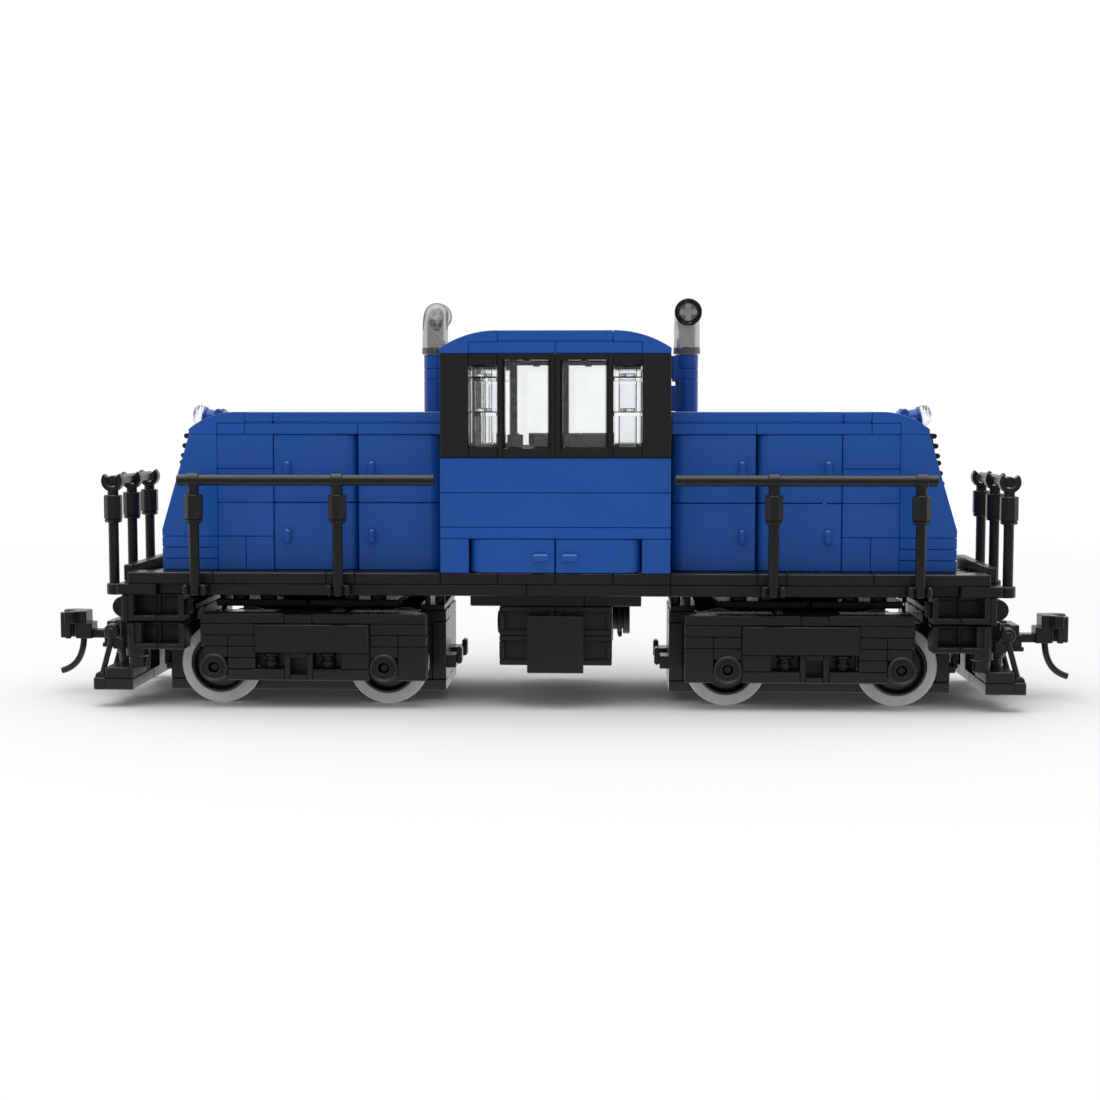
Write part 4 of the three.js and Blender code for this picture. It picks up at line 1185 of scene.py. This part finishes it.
    def hollow_sweep(self, draft: Draft, route: Array, outer: float, inner: float) -> None:
        """Carries a circle out along a route and a smaller one back, so the tube has a wall and open ends."""
        tangent = np.gradient(route, axis=0)
        tangent /= np.linalg.norm(tangent, axis=1, keepdims=True)
        across = np.broadcast_to(np.array((1.0, 0, 0)), route.shape)
        up = np.cross(tangent, across)
        angle = np.arange(32) * 2 * np.pi / 32
        rim = np.cos(angle)[None, :, None] * across[:, None] + np.sin(angle)[None, :, None] * up[:, None]
        out = route[:, None] + outer * rim
        back = (route[:, None] + inner * rim)[::-1]
        draft.skin(np.concatenate([out, back]), ring=True)

    def quarter_plugs(self, centre: Sequence[float], radius: float, arm: float) -> list[Array]:
        """The four corners of a disc that are left round a cross-shaped hole."""
        limit = math.degrees(math.asin(arm / radius))
        corner = np.concatenate([[(arm, arm)], arc((0, 0), radius, (limit, 90 - limit), 6)])
        quarters = np.arange(4) * math.pi / 2
        turns = [np.array([[math.cos(a), -math.sin(a)], [math.sin(a), math.cos(a)]]) for a in quarters]
        return [corner @ turn.T + np.array(centre) for turn in turns]

    def doors(self, flank: str) -> None:
        """Builds the four doors of one flank, two columns of two."""
        for place, hinge_x in (("cab_end", 36.0), ("nose_end", 60.0)):
            for level in ("lower", "upper"):
                name = f"hood_door_{self.side}_{flank}_{place}_{level}"
                z = Box.of(name).z
                handle = (hinge_x + 16, z[0] - 0.15 + 9.6)
                mirror, hinge = (self.x, FLANKS[flank]), (hinge_x, 20.0)
                leaf = HingedDoor(self.shop, name, mirror, hinge, hinge_x + 19.85, handle)
                leaf.build(z)


# ---------- bogies ----------


@dataclass
class Bogie:
    """One powered bogie: side frames and bolster, motor block, and two wheelsets."""

    shop: Shop
    side: str
    centre: float = 72.0
    axle_offset: float = 24.0
    axle_height: float = 11.6

    @property
    def mirror(self) -> Mirror:
        """Where the bogie's pieces go."""
        return (SIDES[self.side], 1)

    def build(self) -> None:
        """Builds the frames, the motor block and the wheelsets."""
        self.frames()
        self.motor()
        for place, way in (("inner", -1), ("outer", 1)):
            x = self.centre + way * self.axle_offset
            Wheelset(self.shop, f"wheelset_{self.side}_{place}", self.mirror, (x, self.axle_height)).build()

    def frames(self) -> None:
        """Lays the brickwork of both side frames, and the bolster with its round bearing between them."""
        draft = Draft(f"bogie_brickwork_{self.side}", self.mirror)
        for flank in (-1, 1):
            self.frame_side(draft, flank)
        for x in ((45.5, 71.5), (72.5, 98.5)):
            draft.brick(x, (-16, 16), (27.2, 29.3), 0.3)
        draft.brick((64, 80), (-25.8, 25.8), (23.7, 26.8))
        draft.bar((self.centre, 0, 26.6), (self.centre, 0, 29.5), 12, 40, edge=0.3)
        for x in (52, 60, 84, 92):
            draft.stud(x, -12, 28.6)
            draft.stud(x, 12, 28.6)
        draft.release(Slot.BLACK, self.shop, f"bogie_{self.side}", f"bogie_frame_{self.side}")

    def frame_side(self, draft: Draft, flank: int) -> None:
        """Draws one side frame: rails, stacked plates, cover panel, windows, box and journals."""
        inner, outer = 26.0, 32.0
        depth = span(flank, inner, outer)
        heights = (8.0, 11.2, 14.4, 17.6, 20.8, 24.0)
        draft.row((36, 68), depth, (24.0, 26.85))
        draft.row((76, 99.6), depth, (24.0, 26.85))
        draft.brick((68, 76), span(flank, inner, outer - 0.25), (23.9, 26.6))
        for x, rows in (
            ((84.2, 99.6), (4,)), ((84.2, 92), (1, 2, 3)), ((92, 99.6), (3,)), ((92, 98.8), (2,)),
            ((76, 92), (0,)),
            ((36, 51.8), (4,)), ((44, 51.8), (2, 3)), ((36, 44), (3,)), ((52, 68), (0,)),
        ):
            for row in rows:
                draft.brick(x, depth, (heights[row], heights[row + 1]))
        draft.brick((36, 44), depth, (8.0, 17.6))
        draft.brick((52, 60), depth, (11.2, 15.9))
        draft.brick((51.4, 52.6), span(flank, inner, outer - 1.2), (11.2, 24))
        draft.brick((52.1, 84.2), span(flank, outer - 1.6, outer + 0.75), (15.9, 23.85))
        draft.brick((52.1, 84.2), span(flank, inner, outer - 1.7), (16.2, 24))
        self.square_box(draft, flank, (68, 76), (8.0, 15.9), outer)
        for x in (64, 80):
            draft.brick((x - 4, x + 4), span(flank, inner, inner + 1.6), (11.2, 16))
            y = flank * (outer - 3.2)
            draft.bar((x, y, 11.3), (x, y, 15.9), 1.5, 18)
            draft.bar((x, y, 14.6), (x, y, 15.6), 2.4, 18, edge=0.25)
            draft.bar((x, y, 12.0), (x, y, 13.4), 2.1, 18, edge=0.25)
            draft.bar((x, y, 12.7), (x, flank * (outer - 0.8), 12.7), 0.9, 14)
        for x in (self.centre - self.axle_offset, self.centre + self.axle_offset):
            self.journal(draft, flank, x, outer)

    def square_box(self, draft: Draft, flank: int, x: Span, z: Span, face: float) -> None:
        """Draws the middle box from four walls and a back, so its square hole is a real one."""
        deep = span(flank, face - 5.6, face)
        wall = 1.6
        draft.brick((x[0], x[0] + wall), deep, z)
        draft.brick((x[1] - wall, x[1]), deep, z)
        draft.brick((x[0] + wall, x[1] - wall), deep, (z[0], z[0] + wall), gap=0)
        draft.brick((x[0] + wall, x[1] - wall), deep, (z[1] - wall, z[1]), gap=0)
        draft.brick((x[0] + 0.1, x[1] - 0.1), span(flank, face - 6, face - 4.6), (z[0] + 0.1, z[1] - 0.1))

    def journal(self, draft: Draft, flank: int, x: float, face: float) -> None:
        """Turns an axle box: a thick round cap with a stepped ring and a hole for the axle's end."""
        profile = [
            (0, 3.6), (0, 1.5), (5.7, 1.5), (5.95, 1.7), (5.95, 2.25), (5.5, 2.45), (5.5, 3.0), (5.8, 3.25),
            (5.95, 3.6), (5.75, 3.95), (5.4, 4.05), (0.2, 4.05),
        ]
        draft.lathe((x, flank * (face - 5.8), self.axle_height), (0, flank, 0), profile, 36, ring=True)

    def motor(self) -> None:
        """Builds the motor block with its base plate, end towers, thin posts and the hook at each end."""
        box = Box.of("traction_motor_right")
        draft = Draft(f"motor_block_{self.side}", self.mirror)
        inner, outer = 32.0, 112.0
        half, low = box.y[1], box.z[0]
        draft.row((inner, 56, 88, outer), (-half, 0), (low, low + PLATE))
        draft.row((inner, 56, 88, outer), (0, half), (low, low + PLATE))
        draft.brick((inner, inner + 4), (-half, half), (low + PLATE, 23))
        draft.brick((outer - 4, outer), (-half, half), (low + PLATE, 23))
        draft.brick((inner + 4, outer - 4), (-half + 0.3, half - 0.3), (low + PLATE, 23))
        for x in (48.0, 96.0):
            draft.brick((x - 6.5, x + 6.5), (-half, half), (6.4, 21.6), 0.8)
        for end in ((inner, inner + 8), (outer - 8, outer)):
            for y in ((-half, -8), (-8, 8), (8, half)):
                draft.brick(end, y, (23, 26.2))
            draft.brick((end[0] + 0.4, end[1] - 0.4), (-half, half), (26.2, 28))
        for y in (-1, 1):
            draft.bar((inner + 2, y * 13, 28), (inner + 2, y * 13, 31.2), 1.4, 18)
            draft.bar((inner + 5.4, y * 14.6, 17), (inner + 5.4, y * 14.6, 30.6), 0.8, 14)
            draft.bar((outer - 3, y * 13.6, 28), (outer - 3, y * 13.6, 31), 1.6, 18)
            draft.brick((inner - 2.6, inner + 0.4), span(y, 5, 13), (9.2, 12.9))
            draft.prism(Axis.Y, oval(0.8, 2.5, (inner - 3.3, 12.6)), span(y, 7, 11), 0.2)
            draft.brick((outer - 0.4, outer + 2.2), span(y, 5, 13), (8.4, 10.6))
            draft.prism(Axis.Y, oval(0.8, 2.5, (outer + 2.4, 11.8)), span(y, 7, 11), 0.2)
        draft.release(Slot.BLACK, self.shop, f"bogie_{self.side}", f"traction_motor_{self.side}")


@dataclass
class Wheelset:
    """Two flanged wheels on an axle: bright turned flanges, dark dished centres."""

    shop: Shop
    name: str
    mirror: Mirror
    centre: tuple[float, float]
    flange: float = 11.6
    tread: float = 8.4

    def build(self) -> None:
        """Turns the flanges as rings, and the centres and axle, all about the same axis."""
        x, z = self.centre
        rims = Draft(f"{self.name}_rims", self.mirror)
        flange = [
            (2.2, self.tread - 0.1), (2.2, self.flange - 0.35), (2.0, self.flange - 0.08), (1.8, self.flange),
            (0.5, self.flange), (0.2, self.flange - 0.2), (0.0, self.flange - 0.6), (0.0, self.tread - 0.1),
        ]
        middles = Draft(f"{self.name}_centres", self.mirror)
        disc = [
            (-2.2, 0.9), (-2.2, 3.2), (-2.0, 3.4), (0.05, 3.4),
            (0.05, self.tread - 0.12), (2.3, self.tread - 0.12),
            (2.45, self.tread), (4.3, self.tread), (4.6, self.tread - 0.3), (4.6, self.tread - 0.7),
            (4.4, self.tread - 0.9), (2.7, self.tread - 1.2), (2.2, self.tread - 1.7), (2.1, 4.2), (2.5, 3.4),
            (4.3, 3.0), (4.6, 2.7), (4.6, 0.9),
        ]
        for flank in (-1, 1):
            start = (x, flank * 18.6, z)
            rims.lathe(start, (0, flank, 0), flange, 72, ring=True)
            middles.lathe(start, (0, flank, 0), disc, 48, ring=True)
        middles.bar((x, -30.8, z), (x, 30.8, z), 1.1, 16)
        sign = int(self.mirror[0])
        rim_material = self.shop.rim(f"{self.name}_metal", (sign * x, z))
        rims.release(Slot.RIM, self.shop, self.name, self.name, dress=rim_material)
        middles.release(Slot.BLACK, self.shop, self.name)


# ---------- underbody and hood contents ----------


@dataclass
class Underbody:
    """The fuel tank under the middle, with the compressor drum on one end."""

    shop: Shop
    panel_rows: tuple[Span, ...] = ((12.2, 20.6), (20.6, 28.8))

    def build(self) -> None:
        """Builds the tank from a core and framed panels, then the ribbed drum."""
        box = Box.of("fuel_tank")
        half, top = box.x[1], self.panel_rows[-1][1]
        draft = Draft("tank_panels")
        draft.brick((-half + 0.2, half - 0.2), (-26, 26), (12.4, top))
        for flank in (-1, 1):
            for z in self.panel_rows:
                for x in ((-half, 0), (0, half)):
                    self.panel(draft, x, flank, z)
            draft.brick((-7.9, 7.9), span(flank, 30.2, box.y[1]), (10.4, 26.4))
            draft.bar((0, flank * 28, 18.4), (0, flank * 30.6, 18.4), 3)
            draft.brick((-6, 6), span(flank, 28.2, 30.3), (12, 25.4))
        draft.lathe((-half + 0.3, -22, 23.8), (-1, 0, 0), [(0, 3.1), (0.7, 3.3), (1.0, 3.1), (1.1, 2.4)], 28)
        draft.release(Slot.BLACK, self.shop, BODY, "fuel_tank")
        self.drum()

    def panel(self, draft: Draft, x: Span, flank: int, z: Span) -> None:
        """Draws one tray panel: a raised frame of four bars round a sunk floor, with a small latch."""
        depth = span(flank, 26, 28.6)
        wall = 1.6
        draft.brick(x, depth, (z[0], z[0] + wall))
        draft.brick(x, depth, (z[1] - wall, z[1]))
        for post in ((x[0], x[0] + wall), (x[1] - wall, x[1])):
            draft.brick(post, depth, (z[0] + wall, z[1] - wall), gap=0)
        draft.brick((x[0] + 0.1, x[1] - 0.1), span(flank, 25.8, 27.2), (z[0] + 0.1, z[1] - 0.1))
        middle = sum(x) / 2
        draft.brick((middle - 1.2, middle + 1.2), span(flank, 27.1, 27.9), (z[1] - 2.4, z[1] - 1.5), 0.1)

    def drum(self) -> None:
        """Turns the compressor: stacked discs of different sizes on one axis, with a clip below."""
        draft = Draft("compressor_discs")
        profile = [
            (0, 3.2), (1.4, 3.2), (1.4, 4.4), (1.6, 4.6), (2.4, 4.6), (2.6, 4.4), (2.6, 3.0), (3.0, 3.0),
            (3.0, 4.1), (3.2, 4.4), (4.8, 4.4), (5.0, 4.1), (5.0, 2.6), (4.6, 2.4),
        ]
        for y in (-14.0, 0.0, 14.0):
            draft.lathe((15.8, y, 24), (1, 0, 0), profile, 32)
        draft.brick((17.4, 18.6), (-16.5, 16.5), (18.9, 20.4))
        draft.release(Slot.BLACK, self.shop, BODY, "air_compressor")


@dataclass
class HoodContents:
    """What the opened doors show: the battery box in the left hood, the receiver in the right."""

    shop: Shop

    def build(self) -> None:
        """Draws both boxes with their lids, ribs and switch."""
        battery = Box.of("battery_box")
        draft = Draft("battery_case")
        x = (battery.x[0], battery.x[1])
        draft.brick(x, battery.y, (battery.z[0], 66), 0.5)
        draft.brick(x, battery.y, (66, 72.4), 0.5)
        draft.brick((x[0] + 6, x[1] - 6), (-12, 12), (72.3, battery.z[1] - 0.4), 0.5)
        for step in range(7):
            left = x[0] + 5 + step * 8.4
            draft.brick((left, left + 2), battery.y, (44, 62), 0.2, gap=-0.25)
        draft.release(Slot.GREY, self.shop, BODY, "battery_box")
        receiver = Box.of("control_receiver")
        draft = Draft("receiver_case")
        draft.brick(receiver.x, receiver.y, (receiver.z[0], 60.8), 0.6)
        knob = [(0, 6), (3.6, 6), (4.4, 5.4), (4.4, 4.6), (4.1, 4.3), (5.3, 4.0), (5.3, 1.0)]
        draft.lathe((50, 0, 60.6), (0, 0, 1), knob, 32)
        for y in (-8.0, 8.0):
            for u in (38.0, 62.0):
                draft.stud(u, y, 60.8)
        draft.release(Slot.BLACK, self.shop, BODY, "control_receiver")


# ---------- studio ----------


class WorldGraph:
    """The node tree of a world."""

    def __init__(self, world: bpy.types.World) -> None:
        """Holds the world's nodes and links."""
        self.nodes = world.node_tree.nodes
        self.links = world.node_tree.links


def spread(
    graph: Graph | WorldGraph, source: bpy.types.NodeSocket, start: Span, end: Span
) -> bpy.types.NodeSocket:
    """Maps a value from one span to another.

    Args:
        graph: Where the node goes.
        source: The value to map.
        start: The span it comes from.
        end: The span it goes to.

    Returns:
        The mapped value.
    """
    node = graph.nodes.new("ShaderNodeMapRange")
    node.inputs["From Min"].default_value, node.inputs["From Max"].default_value = start
    node.inputs["To Min"].default_value, node.inputs["To Max"].default_value = end
    graph.links.new(source, node.inputs["Value"])
    return node.outputs["Result"]


@dataclass(frozen=True)
class Softbox:
    """A square area light that looks at a point."""

    name: str
    place: tuple[float, float, float]
    aim: tuple[float, float, float]
    size: float
    power: float

    def hang(self) -> None:
        """Makes the light and turns it to its aim."""
        data = bpy.data.lights.new(self.name, "AREA")
        data.size = self.size
        data.energy = self.power
        lamp = bpy.data.objects.new(self.name, data)
        lamp.location = self.place
        towards = Vector(self.aim) - Vector(self.place)
        lamp.rotation_euler = towards.to_track_quat("-Z", "Y").to_euler()
        bpy.context.scene.collection.objects.link(lamp)


@dataclass
class Studio:
    """The pale floor, the even surround, the lights and the camera."""

    floor_colour: tuple[float, float, float] = (0.86, 0.86, 0.86)
    floor_size: float = 60.0
    lit_reach: Span = (0.3, 0.8)
    surround: Span = (0.45, 0.95)
    mirrored: Span = (0.2, 0.9)
    mirrored_above: float = 1.7
    backdrop: float = 1.02
    camera_place: tuple[float, float, float] = (0.0190, -0.5338, 0.0829)
    camera_turn: float = 2.33
    camera_dip: float = -4.32
    camera_lens: float = 59.45
    lights: tuple[Softbox, ...] = (
        Softbox("overhead", (-0.1, -0.15, 1.3), (0, 0, 0.05), 1.5, 9.5),
        Softbox("front_left", (-0.7, -1.2, 0.7), (0, 0, 0.05), 0.7, 0.8),
    )

    def build(self) -> None:
        """Sets up floor, surround, lights, camera and the plain colour transform."""
        self.floor()
        self.world()
        for light in self.lights:
            light.hang()
        self.camera()
        bpy.context.scene.view_settings.view_transform = "Standard"

    def floor(self) -> None:
        """Lays a large square floor, a hair under the wheels."""
        half = self.floor_size / 2
        corners = np.array([(-1, -1), (1, -1), (1, 1), (-1, 1)]) * half
        mesh = bpy.data.meshes.new("floor")
        mesh.from_pydata(np.c_[corners, np.full(4, -FLOOR_DROP)].tolist(), [], [[0, 1, 2, 3]])
        graph = Graph("floor_paint")
        graph.blend(graph.noise(3, 2), [part * 0.99 for part in self.floor_colour], self.floor_colour)
        graph.gloss(graph.noise(8, 2), 0.6, 0.7)
        graph.shader.inputs["Specular IOR Level"].default_value = 0.0
        self.brighten_far_floor(graph)
        mesh.materials.append(graph.material)
        floor = bpy.data.objects.new("floor", mesh)
        bpy.context.scene.collection.objects.link(floor)

    def brighten_far_floor(self, graph: Graph) -> None:
        """Carries the floor's white out to the horizon: past the lamps' reach it glows by itself. In reflections
        the floor is a painted glow in place of its lit surface: dim in front of the locomotive, brighter under
        and behind it.
        """
        distance = graph.nodes.new("ShaderNodeVectorMath")
        distance.operation = "LENGTH"
        graph.links.new(graph.place, distance.inputs[0])
        share = spread(graph, distance.outputs["Value"], self.lit_reach, (0, 1))
        glow = graph.nodes.new("ShaderNodeEmission")
        glow.inputs["Strength"].default_value = self.backdrop
        mix = graph.nodes.new("ShaderNodeMixShader")
        graph.links.new(share, mix.inputs[0])
        graph.links.new(graph.shader.outputs[0], mix.inputs[1])
        graph.links.new(glow.outputs[0], mix.inputs[2])
        # Painted reflection: glossy rays see the floor as a glow whose strength follows Y, weaker towards the
        # camera, not as its lit surface.
        rays = graph.nodes.new("ShaderNodeLightPath")
        split = graph.nodes.new("ShaderNodeSeparateXYZ")
        graph.links.new(graph.place, split.inputs[0])
        sheen = graph.nodes.new("ShaderNodeEmission")
        mirrored = spread(graph, split.outputs["Y"], (-0.12, -0.03), self.mirrored)
        graph.links.new(mirrored, sheen.inputs["Strength"])
        mirror = graph.nodes.new("ShaderNodeMath")
        mirror.operation, mirror.use_clamp = "SUBTRACT", True
        graph.links.new(rays.outputs["Is Glossy Ray"], mirror.inputs[0])
        graph.links.new(rays.outputs["Is Transmission Ray"], mirror.inputs[1])
        seen = graph.nodes.new("ShaderNodeMixShader")
        graph.links.new(mirror.outputs[0], seen.inputs[0])
        graph.links.new(mix.outputs[0], seen.inputs[1])
        graph.links.new(sheen.outputs[0], seen.inputs[2])
        graph.links.new(seen.outputs[0], graph.nodes["Material Output"].inputs["Surface"])

    def world(self) -> None:
        """Lights the scene from all round, more from above.

        Pieces mirror a bright ceiling and sides and a dark room behind the camera; to the eye the surround is
        plain white.
        """
        world = bpy.data.worlds.new("studio")
        world.use_nodes = True
        graph = WorldGraph(world)
        nodes, links = graph.nodes, graph.links
        split = nodes.new("ShaderNodeSeparateXYZ")
        links.new(nodes.new("ShaderNodeTexCoord").outputs["Generated"], split.inputs[0])
        even = spread(graph, split.outputs["Z"], (0, 1), self.surround)
        sides = spread(graph, split.outputs["Y"], (-0.5, 0.1), self.mirrored)
        ceiling = spread(graph, split.outputs["Z"], (0.35, 0.75), (0, self.mirrored_above))
        brighter = nodes.new("ShaderNodeMath")
        brighter.operation = "MAXIMUM"
        links.new(sides, brighter.inputs[0])
        links.new(ceiling, brighter.inputs[1])
        rays = nodes.new("ShaderNodeLightPath")
        strength = nodes.new("ShaderNodeMix")
        links.new(rays.outputs["Is Glossy Ray"], strength.inputs[0])
        links.new(even, strength.inputs[2])
        links.new(brighter.outputs[0], strength.inputs[3])
        surround = nodes["Background"]
        surround.inputs["Color"].default_value = (1, 1, 1, 1)
        links.new(strength.outputs[0], surround.inputs["Strength"])
        white = nodes.new("ShaderNodeBackground")
        white.inputs["Strength"].default_value = self.backdrop
        white.inputs["Color"].default_value = (1, 1, 1, 1)
        seen = nodes.new("ShaderNodeMath")
        seen.operation = "MAXIMUM"
        mix = nodes.new("ShaderNodeMixShader")
        links.new(rays.outputs["Is Camera Ray"], seen.inputs[0])
        links.new(rays.outputs["Is Transmission Ray"], seen.inputs[1])
        links.new(seen.outputs[0], mix.inputs[0])
        links.new(surround.outputs[0], mix.inputs[1])
        links.new(white.outputs[0], mix.inputs[2])
        links.new(mix.outputs[0], nodes["World Output"].inputs["Surface"])
        bpy.context.scene.world = world

    def camera(self) -> None:
        """Stands the camera at roof height in front of the side, turned a little and dipped a little."""
        data = bpy.data.cameras.new("camera")
        data.lens = self.camera_lens
        data.sensor_width = 36
        data.clip_start = 0.01
        camera = bpy.data.objects.new("camera", data)
        camera.location = self.camera_place
        camera.rotation_euler = (math.radians(90 + self.camera_dip), 0, math.radians(self.camera_turn))
        bpy.context.scene.collection.objects.link(camera)
        bpy.context.scene.camera = camera


def main() -> None:
    """Builds the locomotive and its studio."""
    logging.basicConfig(level=logging.INFO, format="%(message)s")
    Studio().build()
    shop = Shop()
    Deck(shop).build()
    Cab(shop).build()
    Underbody(shop).build()
    HoodContents(shop).build()
    for side in SIDES:
        EndBeam(shop, side).build()
        Coupler(shop, side).build()
        Handrails(shop, side).build()
        Hood(shop, side).build()
        Bogie(shop, side).build()


if __name__ == "__main__":
    main()
